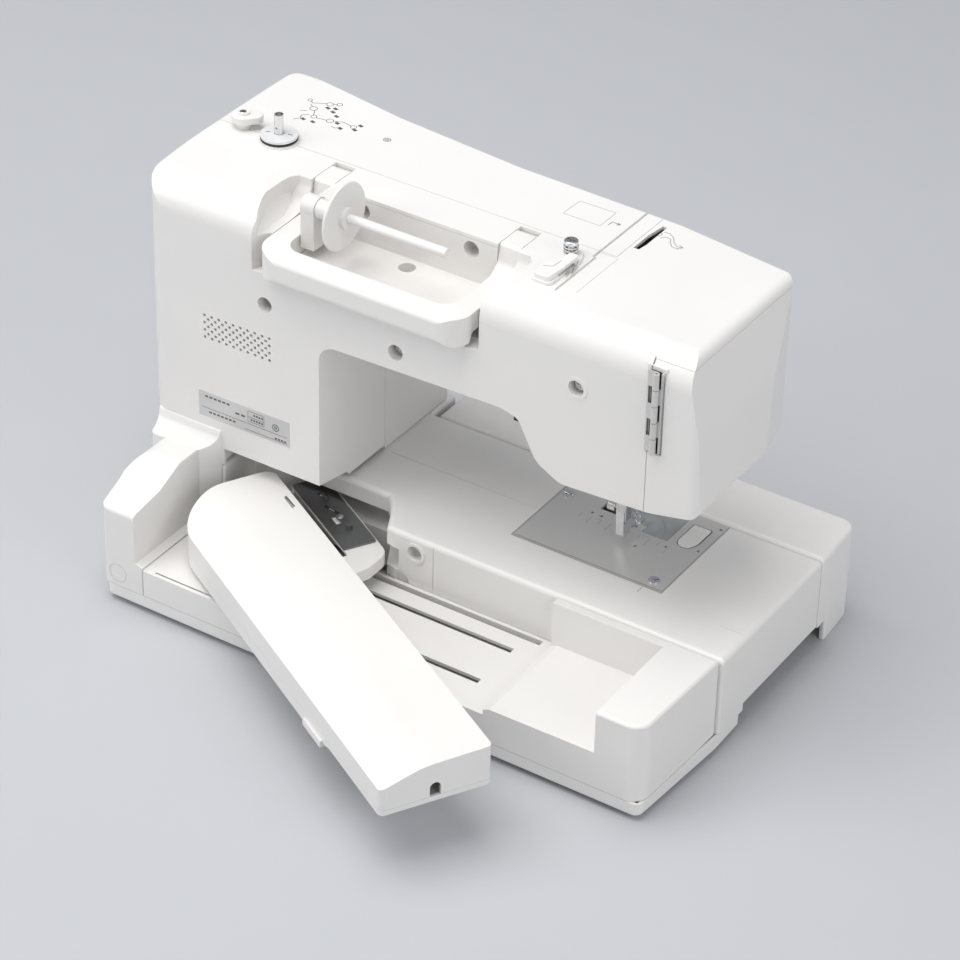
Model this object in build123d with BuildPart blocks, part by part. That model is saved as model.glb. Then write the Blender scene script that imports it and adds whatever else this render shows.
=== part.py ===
"""Domestic sewing-type embroidery machine with a built-in fold-out embroidery arm, in millimetres.

Machine frame while modelling: +X towards the handwheel, +Y away from the operator, +Z up, z = 0 on the
table, x = 0 at the head end of the bed. Every piece is moved at the end so that the origin lies on the
table under the middle of the whole machine.
"""
import os
from math import cos, radians, sin

from build123d import *

os.makedirs("parts", exist_ok=True)
pieces = {}

# ---- Driving dimensions ---------------------------------------------------------------------------
WALL = 2.6
SEAM = 0.4                # gap at a casing seam
MOVING_GAP = 0.5          # gap beside a piece that moves

BED_TOP = 78.0
PAN_BOTTOM, PAN_TOP = 4.0, 14.4
TRAY_TOP = 36.6
BASE_REAR = 157.0
BED_REAR = 61.5
BED_FRONT = -79.0
TABLE_FRONT = -135.0
FREE_ARM_BOTTOM = 21.0

BODY_TOP = 298.0
ARM_UNDERSIDE = 212.0
HEAD_BOTTOM = 172.0
PILLAR_INNER = 324.6
REAR_AT_PILLAR, REAR_AT_HEAD = 65.4, 61.0
SIDE_X, HEAD_X = 480.0, 22.0
TOP_SEAM_Y, WALL_SEAM_Y = -29.0, -18.0
TOP_SEAM_END = 144.0
FACE_SEAM, FACE_TOP = 62.8, 291.0

NOTCH_X = (PILLAR_INNER, 408.0)
NOTCH_Y = 27.5
NOTCH_TOP = 92.0

PIVOT = (333.0, 86.0)     # swing axis of the embroidery arm
ARM_ANGLE = 30.0          # how far the arm is swung out from its stowed place
ARM_TIP, ARM_BACK = 294.0, -57.0
ARM_FRONT, ARM_REAR = 10.5, -71.0
ARM_TOP, ARM_BOTTOM, ARM_SEAM = 78.0, 40.5, 50.0
CARRIAGE_TOP, CARRIAGE_BOTTOM = 58.0, 48.0
CARRIAGE_OUT = 54.0

NEEDLE = (124.0, -40.0)
PRESSER_Y = -22.0
SHAFT_Y, SHAFT_Z = -50.0, 236.0
HOOK_Y = -57.5
LOWER_Y, LOWER_Z = -33.1, 42.0
BELT_X = 450.0
PULLEY_R, MOTOR_PULLEY_R = 16.0, 8.0
MOTOR_Y, MOTOR_Z = -31.9, 120.0
CRANK_R = 13.0
HINGE_Y, HINGE_Z = -18.5, 291.0      # carry handle axis
HANDLE_X = (202.5, 372.0)
HANDLE_ARM = 16.0
SPOOL_Y, SPOOL_Z = 35.5, 300.0
SPOOL_FLANGE_R = 25.0
FACE_HINGE = (57.0, 63.8)
BUTTON_X = 72.0
WINDER, STOPPER = (423.4, -28.5), (455.6, -30.0)


# ---- Helpers --------------------------------------------------------------------------------------
def prism(outline, bottom, top, mode=Mode.ADD, radius=0):
    """A vertical-sided block with a polygon for its plan; radius is one number, or one for each corner."""
    with BuildSketch(Plane.XY.offset(bottom)) as plan:
        with BuildLine():
            if radius:
                FilletPolyline(*outline, radius=radius, close=True)
            else:
                Polyline(*outline, close=True)
        make_face()
    extrude(plan.sketch, amount=top - bottom, mode=mode)


def box(x, y, z, mode=Mode.ADD):
    """A box from its (low, high) pairs."""
    with Locations([tuple((low + high) / 2 for low, high in (x, y, z))]):
        Box(x[1] - x[0], y[1] - y[0], z[1] - z[0], mode=mode)


def bar(centre, radius, length, axis="Z", mode=Mode.ADD):
    """A round bar about an axis, given by its middle."""
    turn = {"X": (0, 90, 0), "Y": (90, 0, 0), "Z": (0, 0, 0)}[axis]
    with Locations([centre]):
        Cylinder(radius, length, rotation=turn, mode=mode)


def side_profile(points, x, radii=None, mode=Mode.ADD):
    """A (y, z) outline carried along X between the two values of x."""
    with BuildSketch(Plane(origin=(x[0], 0, 0), x_dir=(0, 1, 0), z_dir=(1, 0, 0))) as section:
        with BuildLine():
            if radii:
                FilletPolyline(*points, radius=radii, close=True)
            else:
                Polyline(*points, close=True)
        make_face()
    extrude(section.sketch, amount=x[1] - x[0], mode=mode)


def keep(name, part):
    """File a finished piece under its name."""
    pieces[name] = part


def housing(inset):
    """Pillar, arm and head as one solid, with its faces moved in by inset."""
    corners = [
        ((466, BED_TOP + 0.4), 1), ((474, 190), 300), ((480, BODY_TOP), 6), ((35, BODY_TOP), 7),
        ((25, 240), 120), ((22.5, 181), 6), ((59, 173.5), 60), ((128, 170.5), 14), ((147, 181), 18),
        ((162, 210), 8), ((176, ARM_UNDERSIDE + 2), 30), ((PILLAR_INNER, ARM_UNDERSIDE - 1), 14),
        ((PILLAR_INNER, BED_TOP + 0.4), 1),
    ]
    plan_corners = [
        ((SIDE_X - 8.5, REAR_AT_PILLAR), 15), ((HEAD_X, REAR_AT_HEAD - 0.4), 9), ((HEAD_X, -30), 60),
        ((34, -77), 8), ((130, -90), 30), ((263, -94), 60), ((372, -105), 60), ((SIDE_X - 5.5, -123), 12),
        ((SIDE_X - 1, -32), 300),
    ]
    lean = (REAR_AT_PILLAR - REAR_AT_HEAD) / (SIDE_X - FACE_SEAM)
    rear = Plane(origin=(SIDE_X, REAR_AT_PILLAR, 0), x_dir=(-lean, 1, 0), z_dir=(1, lean, 0))
    with BuildPart() as form:
        with BuildSketch(Plane.XZ) as elevation:
            with BuildLine():
                FilletPolyline(*[p for p, _ in corners], radius=[r for _, r in corners], close=True)
            make_face()
            if inset:
                offset(amount=-inset)
        extrude(elevation.sketch, amount=200, both=True)
        with BuildSketch() as plan:
            with BuildLine():
                points = [p for p, _ in plan_corners]
                FilletPolyline(*points, radius=[r for _, r in plan_corners], close=True)
            make_face()
            if inset:
                offset(amount=-inset)
        extrude(plan.sketch, amount=400, mode=Mode.INTERSECT)
        with BuildSketch(rear) as section:
            with BuildLine():
                FilletPolyline((0, 0), (0, BODY_TOP), (-190, BODY_TOP), (-190, 0),
                               radius=[1, 22, 8, 1], close=True)
            make_face()
            if inset:
                offset(amount=-inset)
        extrude(section.sketch, amount=-500, mode=Mode.INTERSECT)
    return form.part


def handle_space(grow):
    """The room of the folded carry handle and the spool well, grown by grow into the machine."""
    low, high = HANDLE_X[0] - 0.5, HANDLE_X[1] + 0.5
    inner_low, inner_high = low + HANDLE_ARM + 1, high - HANDLE_ARM - 1
    arm_side = [(-26.2, 330), (-26.2, 283), (-7, 283), (-3, 270), (6, 262), (20, 259), (60, 259), (60, 330)]
    with BuildPart() as room:
        box((inner_low - grow, inner_high + grow), (3 - grow, 90), (262 - grow, 330))
        for x in ((low - grow, inner_low + grow), (inner_high - grow, high + grow)):
            grown = [(y - grow * (y < 0 or z < 283), z - grow * (z < 330)) for y, z in arm_side]
            side_profile(grown, x)
        prism([(low - grow, 40), (low - grow, 84.5 + grow), (high + grow, 84.5 + grow), (high + grow, 40)],
              253 - grow, 330, radius=[1, 18, 18, 1])
        prism([(inner_low, 20), (inner_low, 59.6 - grow), (inner_high, 59.6 - grow), (inner_high, 20)],
              252 - 2 * grow, 262 - grow, radius=[1, 17, 17, 1], mode=Mode.SUBTRACT)
    return room.part


def scoops(grow):
    """Rounded finger scoops in the casing beside both arms of the carry handle, grown by grow."""
    line = [(4 - grow, 330), (4 - grow, 292), (10 - grow, 281), (26, 277.5 - grow), (90, 276.5 - grow), (90, 330)]
    with BuildPart() as cut:
        for edge, way in ((HANDLE_X[0] + 1, -1), (HANDLE_X[1] - 1, 1)):
            side_profile(line, sorted((edge, edge + (17 + grow) * way)), [1, 8, 10, 30, 1, 1])
        with BuildSketch(Plane.XY.offset(200)) as plan:
            for edge, way in ((HANDLE_X[0] + 1, -1), (HANDLE_X[1] - 1, 1)):
                with BuildLine():
                    outline = [(0, 3), (11, 3), (16, 9), (17.4, 22), (17, 36), (11, 54), (6, 64), (0, 64)]
                    FilletPolyline(*[(edge + way * (x + grow * (x > 0)), y + grow * (1 if y > 40 else -1 if y < 10 else 0))
                                     for x, y in outline], radius=[0.5, 4, 6, 8, 10, 8, 2, 0.5], close=True)
                make_face()
        extrude(plan.sketch, amount=200, mode=Mode.INTERSECT)
        with BuildSketch(Plane.XZ.offset(60)) as across:
            with Locations((HANDLE_X[0] + 1, 298), (HANDLE_X[1] - 1, 298)):
                Ellipse(19 + grow, 23 + grow)
            with Locations((HANDLE_X[0] + 1, 340), (HANDLE_X[1] - 1, 340)):
                Rectangle(38 + 2 * grow, 84)
        extrude(across.sketch, amount=-200, mode=Mode.INTERSECT)
        with BuildSketch(Plane.XY.offset(252 - grow)) as side_cut:
            with Locations((HANDLE_X[0] + 1, 72), (HANDLE_X[1] - 1, 72)):
                Ellipse(10 + grow, 22 + grow)
        extrude(side_cut.sketch, amount=60)
    return cut.part


OUTER = housing(0)
INNER = housing(WALL)
HANDLE_ROOM = handle_space(0)

# ---- Base: bottom pan, bed, tray, horn --------------------------------------------------------------
base_plan = [(-5, 28), (-6, BED_REAR + 3), (0, BASE_REAR), (446, BASE_REAR), (464, 65), (470, -60),
             (466, -120), (322, -112), (322, -76), (120, -76), (120, 28)]
with BuildPart() as bottom_pan:
    prism(base_plan, PAN_BOTTOM, PAN_TOP, radius=6)
    with BuildSketch(Plane.XY.offset(PAN_BOTTOM + WALL)) as pan_room:
        with BuildLine():
            Polyline(*base_plan, close=True)
        make_face()
        offset(amount=-WALL)
    extrude(pan_room.sketch, amount=20, mode=Mode.SUBTRACT)
    fillet(bottom_pan.faces().sort_by(Axis.Z)[0].edges(), 2)
keep("bottom_pan", bottom_pan.part)

with BuildPart() as rubber_feet:
    for x, y in ((25, 135), (425, 135), (445, -95), (340, -90), (140, -60), (140, 45)):
        with Locations((x, y, PAN_BOTTOM)):
            Cone(9, 7.5, PAN_BOTTOM, rotation=(180, 0, 0), align=(Align.CENTER, Align.CENTER, Align.MIN))
keep("rubber_feet", rubber_feet.part)

bed_plan = [(-5, BED_FRONT), (-6, BED_REAR), (261, BED_REAR), (269, 60), (276.5, 45), (283.5, 34),
            (290, NOTCH_Y), (NOTCH_X[1], NOTCH_Y), (NOTCH_X[1], 64.4), (461, 64.4), (467, -60),
            (463, -117), (322, -109), (322, BED_FRONT)]
POCKET = ((257, 333), (21, 60)), ((295, 360), (6, 30))
with BuildPart() as pocket_wall:
    bar((*PIVOT, 54), 79 + WALL, 18 + 2 * WALL)
    for x, y in POCKET:
        box((x[0] - WALL, x[1] + WALL), (y[0] - WALL, y[1] + WALL), (45 - WALL, 63 + WALL))
    with BuildSketch() as whole:
        with BuildLine():
            Polyline(*bed_plan, close=True)
        make_face()
        offset(amount=-0.5)
    extrude(whole.sketch, amount=90, mode=Mode.INTERSECT)
with BuildPart() as bed_cover:
    prism(bed_plan, PAN_TOP + SEAM, BED_TOP, radius=2)
    fillet(bed_cover.faces().sort_by(Axis.X)[0].edges().sort_by(Axis.Z)[-1:], 4)
    with BuildSketch(Plane.XY.offset(BED_TOP - WALL)) as bed_room:
        with BuildLine():
            Polyline(*bed_plan, close=True)
        make_face()
        offset(amount=-WALL)
    extrude(bed_room.sketch, amount=-80, mode=Mode.SUBTRACT)
    add(pocket_wall.part)
    box((-10, 118), (BED_FRONT - 1, 28), (0, FREE_ARM_BOTTOM), mode=Mode.SUBTRACT)
    box((-3, 118), (BED_FRONT + 1, 28), (FREE_ARM_BOTTOM, FREE_ARM_BOTTOM + WALL))
    box((-3, 118), (28, 28 + WALL), (PAN_TOP + SEAM, FREE_ARM_BOTTOM + WALL))
    box((118, 118 + WALL), (BED_FRONT + 1, 30), (PAN_TOP + SEAM, FREE_ARM_BOTTOM + WALL))
    bar((*PIVOT, 54), 79, 18, mode=Mode.SUBTRACT)
    box((68, 191.6), (BED_FRONT + 2, 19.2), (BED_TOP - 2, BED_TOP + 1), mode=Mode.SUBTRACT)
    box((74, 186), (BED_FRONT + 4.5, 13), (BED_TOP - 5, BED_TOP + 1), mode=Mode.SUBTRACT)
    box((412, 460), (-110, -5), (BED_TOP - 5, BED_TOP + 1), mode=Mode.SUBTRACT)
    box((332, 386), (-92, -70), (BED_TOP - 5, BED_TOP + 1), mode=Mode.SUBTRACT)
    bar((244, BED_REAR - 4, 65), 8, 10, "Y")
    bar((244, BED_REAR - 1, 65), 6, 12, "Y", mode=Mode.SUBTRACT)
    bar((255, BED_REAR, TRAY_TOP + 1), 6, 3, "Y", mode=Mode.SUBTRACT)
    for x, y in POCKET:
        box(x, y, (45, 63), mode=Mode.SUBTRACT)
    box((228.3, 228.9), (60.9, 62), (TRAY_TOP, BED_TOP), mode=Mode.SUBTRACT)
    box((191.6, 319), (-18.7, -18.2), (BED_TOP - 0.5, BED_TOP + 1), mode=Mode.SUBTRACT)
    box((-8, 16), (27.8, 28.2), (BED_TOP - 0.4, BED_TOP + 1), mode=Mode.SUBTRACT)
    box((450, 475), (-100.5, -59.5), (19.5, 50.5), mode=Mode.SUBTRACT)
    box((450, 475), (-91.5, -68.5), (54.5, 69.5), mode=Mode.SUBTRACT)
keep("bed_cover", bed_cover.part)

block_plan = [(-3, BED_REAR + 0.5), (0, BASE_REAR), (150, BASE_REAR), (150, BED_REAR + 0.5)]
tray_plan = [(-3, BED_REAR + 0.5), (0, BASE_REAR), (413.2, BASE_REAR), (413.2, 65), (407, 65),
             (407, BED_REAR + 0.5)]
with BuildPart() as rear_tray:
    prism(block_plan, PAN_TOP + SEAM, BED_TOP - 0.2, radius=[1, 13, 1, 1])
    fillet(rear_tray.faces().sort_by(Axis.Z)[-1].edges(), 2.5)
    with BuildSketch(Plane.XZ.offset(-BASE_REAR - 5)) as rest:
        with BuildLine():
            Polyline((36, 90), (36, 44), (119, 43), (134, TRAY_TOP), (160, TRAY_TOP), (160, 90), close=True)
        make_face()
    extrude(rest.sketch, amount=BASE_REAR + 5 - BED_REAR - 9, mode=Mode.SUBTRACT)
    box((124, 160), (BED_REAR, BASE_REAR), (TRAY_TOP, 90), mode=Mode.SUBTRACT)
    prism(tray_plan, PAN_TOP + SEAM, TRAY_TOP, radius=[1, 13, 1, 1, 1, 1])
    under_tray = [(3, BED_REAR + 4), (4, BASE_REAR - WALL), (410, BASE_REAR - WALL), (410, BED_REAR + 4)]
    under_block = [(3, BED_REAR + 4), (4, BASE_REAR - WALL), (33, BASE_REAR - WALL), (33, BED_REAR + 4)]
    prism(under_tray, PAN_TOP, TRAY_TOP - WALL, mode=Mode.SUBTRACT, radius=[1, 10, 1, 1])
    prism(under_block, PAN_TOP, BED_TOP - WALL - 1, mode=Mode.SUBTRACT, radius=[1, 10, 1, 1])
    for y, start in ((67.5, 134), (86, 146), (127.5, 146)):
        box((start, 362), (y - 2.6, y + 2.6), (30, 40), mode=Mode.SUBTRACT)
    box((345, 404), (152.6, 154.2), (33, 40), mode=Mode.SUBTRACT)
keep("rear_tray", rear_tray.part)

LEG_REAR = 80.0
horn_plan = [(413.6, LEG_REAR + SEAM), (413.6, BASE_REAR), (448, BASE_REAR), (462.5, LEG_REAR + SEAM)]
with BuildPart() as horn_cover:
    prism(horn_plan, PAN_TOP + SEAM, 110, radius=[1, 1, 6, 1])
    side_profile([(78, 95.5), (102, 95.5), (126, 85), (BASE_REAR, 80.5), (BASE_REAR, 0), (78, 0)],
                 (400, 470), [1, 20, 20, 4, 1, 1], mode=Mode.INTERSECT)
    with BuildSketch(Plane.XZ.offset(-60)) as across:
        with BuildLine():
            FilletPolyline((413.6, 0), (413.6, 38), (419.6, 40), (420, 98), (452, 94.5), (464, 60), (464, 0),
                           radius=[0.5, 0.5, 0.5, 4, 9, 30, 1], close=True)
        make_face()
    extrude(across.sketch, amount=-100, mode=Mode.INTERSECT)
    prism([(423, 84), (423, BASE_REAR - WALL), (441, BASE_REAR - WALL), (456, 84)], 0, 64, mode=Mode.SUBTRACT)
    with BuildSketch(Plane.XZ.offset(-BASE_REAR - 1)) as plug:
        with Locations((435.5, 25.6)):
            Circle(7.6)
            Circle(7.1, mode=Mode.SUBTRACT)
    extrude(plug.sketch, amount=1.6, mode=Mode.SUBTRACT)
keep("horn_cover", horn_cover.part)

# ---- Pillar, arm and head casings -------------------------------------------------------------------
def notch_space(grow):
    """The room under the pillar for the back end of the embroidery arm, grown by grow."""
    with BuildPart() as room:
        side_profile([(NOTCH_Y - grow, 60), (NOTCH_Y - grow, 85 + grow), (90, 97.5 + grow), (90, 60)],
                     (NOTCH_X[0] - 8, NOTCH_X[1] + grow), [1, 4, 1, 1])
    return room.part


NOTCH = notch_space(0)
with BuildPart() as rear_hollow:
    add(INNER)
    add(notch_space(WALL), mode=Mode.SUBTRACT)
    add(scoops(WALL), mode=Mode.SUBTRACT)

with BuildPart() as rear_side:
    seam_line = [(WALL_SEAM_Y, 60), (WALL_SEAM_Y, 205), (TOP_SEAM_Y, 236), (TOP_SEAM_Y, 330), (120, 330), (120, 60)]
    side_profile(seam_line, (FACE_SEAM, 500))
    box((400, 500), (55, 100), (0, 120))
    box((FACE_SEAM, TOP_SEAM_END), (-130, 0), (BODY_TOP - 14, 330))
    box((0, FACE_SEAM + 1), (-130, 120), (FACE_TOP, 330))
with BuildPart() as front_side:
    moved = [(y - SEAM, z + SEAM * 0.4) for y, z in seam_line[:4]] + [(120, 400), (200, 400), (200, 0),
                                                                     (WALL_SEAM_Y - SEAM, 0)]
    box((FACE_SEAM, 500), (-140, 120), (60, 330))
    side_profile(moved, (FACE_SEAM - 1, 501), mode=Mode.SUBTRACT)
    box((FACE_SEAM - 1, TOP_SEAM_END + SEAM), (-140, 0), (BODY_TOP - 14 - SEAM, 331), mode=Mode.SUBTRACT)

with BuildPart() as pillar_leg:
    prism([(409.4, 58), (409.8, 65), (419.8, LEG_REAR), (462, LEG_REAR), (465.6, 62.4), (465.6, 58)], TRAY_TOP + 1, 110,
          radius=[0.5, 8, 3, 3, 1, 0.5])
    side_profile([(50, 30), (LEG_REAR, 30), (LEG_REAR, 95), (72, 96.5), (67.4, 101), (65, 108), (50, 108)],
                 (400, 470), [1, 1, 1.5, 8, 8, 3, 1], mode=Mode.INTERSECT)
    prism([(414.6, 62.4), (414.6, LEG_REAR), (462, LEG_REAR), (465.6, 62.4)], PAN_TOP + SEAM, TRAY_TOP + 2,
          radius=[1, 1, 3, 1])
    box((400, 470), (50, 62.2), (0, BED_TOP + 0.4), mode=Mode.SUBTRACT)
    box((400, 417.9), (50, 64.9), (0, BED_TOP + 0.4), mode=Mode.SUBTRACT)
with BuildPart() as leg_hollow:
    prism([(417.4, 55), (417.4, 72), (422, 77.4), (459, 77.4), (462.4, 60), (462.4, 55)], 0, 93.5,
          radius=[1, 3, 2, 2, 1, 1])

rear_wall_screws = ((370, 227), (261, 227), (118, 250.5))
with BuildPart() as rear_casing:
    add(OUTER)
    add(pillar_leg.part)
    add(leg_hollow.part, mode=Mode.SUBTRACT)
    add(rear_hollow.part, mode=Mode.SUBTRACT)
    add(rear_side.part, mode=Mode.INTERSECT)
    add(HANDLE_ROOM, mode=Mode.SUBTRACT)
    add(scoops(0), mode=Mode.SUBTRACT)
    add(NOTCH, mode=Mode.SUBTRACT)
    for x, z in rear_wall_screws:
        bar((x, 56, z), 8.5, 12, "Y")
        bar((x, 60, z), 6, 16, "Y", mode=Mode.SUBTRACT)
        bar((x, 50, z), 2.2, 16, "Y", mode=Mode.SUBTRACT)
    with BuildSketch(Plane.XZ.offset(-50)) as vents:
        with Locations((394.5, 191.5)):
            with GridLocations(6.2, 6.0, 10, 4):
                Circle(1.25)
            with GridLocations(6.2, 6.0, 9, 3):
                Circle(1.25)
    extrude(vents.sketch, amount=-30, mode=Mode.SUBTRACT)
    box((100, 460), (-60, 62), (BED_TOP, BED_TOP + 4), mode=Mode.SUBTRACT)
    box((414, 460), (-60, 60), (BED_TOP - 4, BED_TOP + 8), mode=Mode.SUBTRACT)
    box((155, 189), (34, 52), (200, 222), mode=Mode.SUBTRACT)
    bar((172, 54.5, 250), 4, 12, "Y")
    bar((172, 45, 250), 2, 12, "Y")
    box((191, 214), (1, 25), (205, 220), mode=Mode.SUBTRACT)
    box((FACE_SEAM, 64.4), (59.5, 70), (222, 288), mode=Mode.SUBTRACT)
    box((FACE_SEAM, 66), (57, 59.5), (222, 288))
    for k in range(6):
        box((136 + 0.2 * k, 141.4 - 0.35 * (5 - k)), (-82 + 3 * k, -46 - 1.5 * (5 - k)),
            (BODY_TOP - 5, BODY_TOP + 2), mode=Mode.SUBTRACT)
    bar((*WINDER, BODY_TOP + 0.75), 14.8, 1.5)
    bar((*WINDER, BODY_TOP), 3.7, 20, mode=Mode.SUBTRACT)
    box((141.9, 142.3), (-27.4, 26), (BODY_TOP - 0.5, BODY_TOP + 1), mode=Mode.SUBTRACT)
    box((141.9, 156.5), (-27.8, -27.4), (BODY_TOP - 0.5, BODY_TOP + 1), mode=Mode.SUBTRACT)
    box((156.3, 158.2), (-40, -20), (BODY_TOP - 2, BODY_TOP + 1), mode=Mode.SUBTRACT)
    box((154.4, 156.4), (-20.5, 31), (BODY_TOP - 1.6, BODY_TOP + 1), mode=Mode.SUBTRACT)
keep("rear_casing", rear_casing.part)

with BuildPart() as front_casing:
    add(OUTER)
    add(INNER, mode=Mode.SUBTRACT)
    add(front_side.part, mode=Mode.INTERSECT)
    add(NOTCH, mode=Mode.SUBTRACT)
    box((414, 460), (-110, 0), (BED_TOP - 4, BED_TOP + 8), mode=Mode.SUBTRACT)
    box((330, 388), (-93, -60), (BED_TOP - 4, BED_TOP + 8), mode=Mode.SUBTRACT)
    box((100, 148), (-64, -8), (HEAD_BOTTOM - 8, HEAD_BOTTOM + 14), mode=Mode.SUBTRACT)
    bar((478, SHAFT_Y, SHAFT_Z), 9, 12, "X", mode=Mode.SUBTRACT)
    box((PILLAR_INNER + 30, 440), (-130, -90), (130, 202), mode=Mode.SUBTRACT)
    bar((BUTTON_X, -88, 200), 6.3, 30, "Y", mode=Mode.SUBTRACT)
    box((62, 102), (-110, -70), (222, 226), mode=Mode.SUBTRACT)
    bar((*WINDER, BODY_TOP), 3.7, 20, mode=Mode.SUBTRACT)
    box((156.3, 158.2), (-100, -12), (BODY_TOP - 2, BODY_TOP + 1), mode=Mode.SUBTRACT)
keep("front_casing", front_casing.part)

with BuildPart() as face_cover:
    add(OUTER)
    add(INNER, mode=Mode.SUBTRACT)
    box((0, FACE_SEAM - 0.5), (-130, 120), (60, FACE_TOP - 0.3), mode=Mode.INTERSECT)
    box((51.5, FACE_SEAM), (59.5, 70), (222, 288), mode=Mode.SUBTRACT)
    box((51.5, FACE_SEAM - 0.5), (57, 59.5), (222, 288))
    bar((24.5, -9.5, 179.5), 3.4, 27, "Y", mode=Mode.SUBTRACT)
keep("face_cover", face_cover.part)

with BuildPart() as handle_well:
    add(handle_space(2))
    add(housing(WALL + 0.3), mode=Mode.INTERSECT)
    add(HANDLE_ROOM, mode=Mode.SUBTRACT)
    add(scoops(WALL + 0.3), mode=Mode.SUBTRACT)
    box((343, 354), (3, 43), (269, 300))
    bar((348.5, SPOOL_Y, SPOOL_Z), 8, 11, "X")
    bar((338, SPOOL_Y, SPOOL_Z), 7, 12, "X")
    bar((338, SPOOL_Y, SPOOL_Z), 3.5, 40, "X", mode=Mode.SUBTRACT)
    for x in HANDLE_X:
        bar((x, HINGE_Y, HINGE_Z), 2.5, 60, "X", mode=Mode.SUBTRACT)
    for x, z in ((240, 286.6), (330, 286.6)):
        bar((x, -4, z), 7.8, 12, "Y")
        bar((x, 0, z), 6.2, 16, "Y", mode=Mode.SUBTRACT)
    bar((285, 14, 257), 8, 9)
    bar((285, 14, 260), 6.2, 12, mode=Mode.SUBTRACT)
keep("handle_well", handle_well.part)

# ---- Carry handle ------------------------------------------------------------------------------------
with BuildPart() as carry_handle:
    top_line = [(HINGE_Y, BODY_TOP), (0.5, BODY_TOP), (3, 284), (11, 277.4), (77.5, 276.5)]
    low_line = [(77.5, 255), (61, 255), (58.5, 262), (21, 262), (8, 264), (0, 272), (-5, 284), (HINGE_Y, 284)]
    side_profile(top_line + low_line, HANDLE_X, [1, 3, 7, 6, 5, 6, 2, 2, 12, 6, 5, 4, 1])
    for x in (HANDLE_X[0] + HANDLE_ARM / 2, HANDLE_X[1] - HANDLE_ARM / 2):
        bar((x, HINGE_Y, HINGE_Z), 7, HANDLE_ARM, "X")
    prism([(HANDLE_X[0], -30), (HANDLE_X[0], 77.5), (HANDLE_X[1], 77.5), (HANDLE_X[1], -30)], 240, 310,
          radius=[1, 18, 21, 1], mode=Mode.INTERSECT)
    prism([(HANDLE_X[0] + HANDLE_ARM, -40), (HANDLE_X[0] + HANDLE_ARM, 61), (HANDLE_X[1] - HANDLE_ARM, 61),
           (HANDLE_X[1] - HANDLE_ARM, -40)], 240, 310, radius=[1, 13, 13, 1], mode=Mode.SUBTRACT)
    for x in HANDLE_X:
        bar((x, HINGE_Y, HINGE_Z), 2.55, 60, "X", mode=Mode.SUBTRACT)
keep("carry_handle", carry_handle.part)

with BuildPart() as spool_pin:
    bar((323, SPOOL_Y, SPOOL_Z), SPOOL_FLANGE_R, 2.4, "X")
    fillet(spool_pin.edges(), 1)
    bar((321, SPOOL_Y, SPOOL_Z), 8, 5, "X")
    bar((297, SPOOL_Y, SPOOL_Z), 3.5, 118, "X")
    fillet(spool_pin.faces().sort_by(Axis.X)[0].edges(), 1)
keep("spool_pin", spool_pin.part)

# ---- Hinge of the face cover ---------------------------------------------------------------------------
hinge_x, hinge_y = FACE_HINGE
knuckle = 12.4
knuckle_z = [223 + knuckle * (n + 0.5) + 0.2 * n for n in range(5)]
with BuildPart() as face_hinge_fixed:
    for z in knuckle_z[::2]:
        bar((hinge_x, hinge_y, z), 2.3, knuckle - 0.4)
        box((hinge_x, 64.2), (61.3, 62.1), (z - knuckle / 2 + 0.2, z + knuckle / 2 - 0.2))
    box((FACE_SEAM + 0.5, 64.2), (59.6, 62.1), (223.3, 285.5))
    bar((hinge_x, hinge_y, 254), 1.0, 70, mode=Mode.SUBTRACT)
keep("face_hinge_fixed", face_hinge_fixed.part)
with BuildPart() as face_hinge_moving:
    for z in knuckle_z[1::2]:
        bar((hinge_x, hinge_y, z), 2.3, knuckle - 0.4)
        box((hinge_x - 4.4, hinge_x), (61.3, 62.1), (z - knuckle / 2 + 0.2, z + knuckle / 2 - 0.2))
        bar((hinge_x, hinge_y, z), 1.05, 20, mode=Mode.SUBTRACT)
    box((hinge_x - 4.4, hinge_x - 3), (59.6, 62.1), (223.3, 285.5))
keep("face_hinge_moving", face_hinge_moving.part)
with BuildPart() as hinge_pins:
    bar((hinge_x, hinge_y, 254.5), 1.0, 62.5)
    for x in (HANDLE_X[0] + HANDLE_ARM / 2, HANDLE_X[1] - HANDLE_ARM / 2):
        bar((x, HINGE_Y, HINGE_Z), 2.5, HANDLE_ARM + 5, "X")
keep("hinge_pins", hinge_pins.part)

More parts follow.
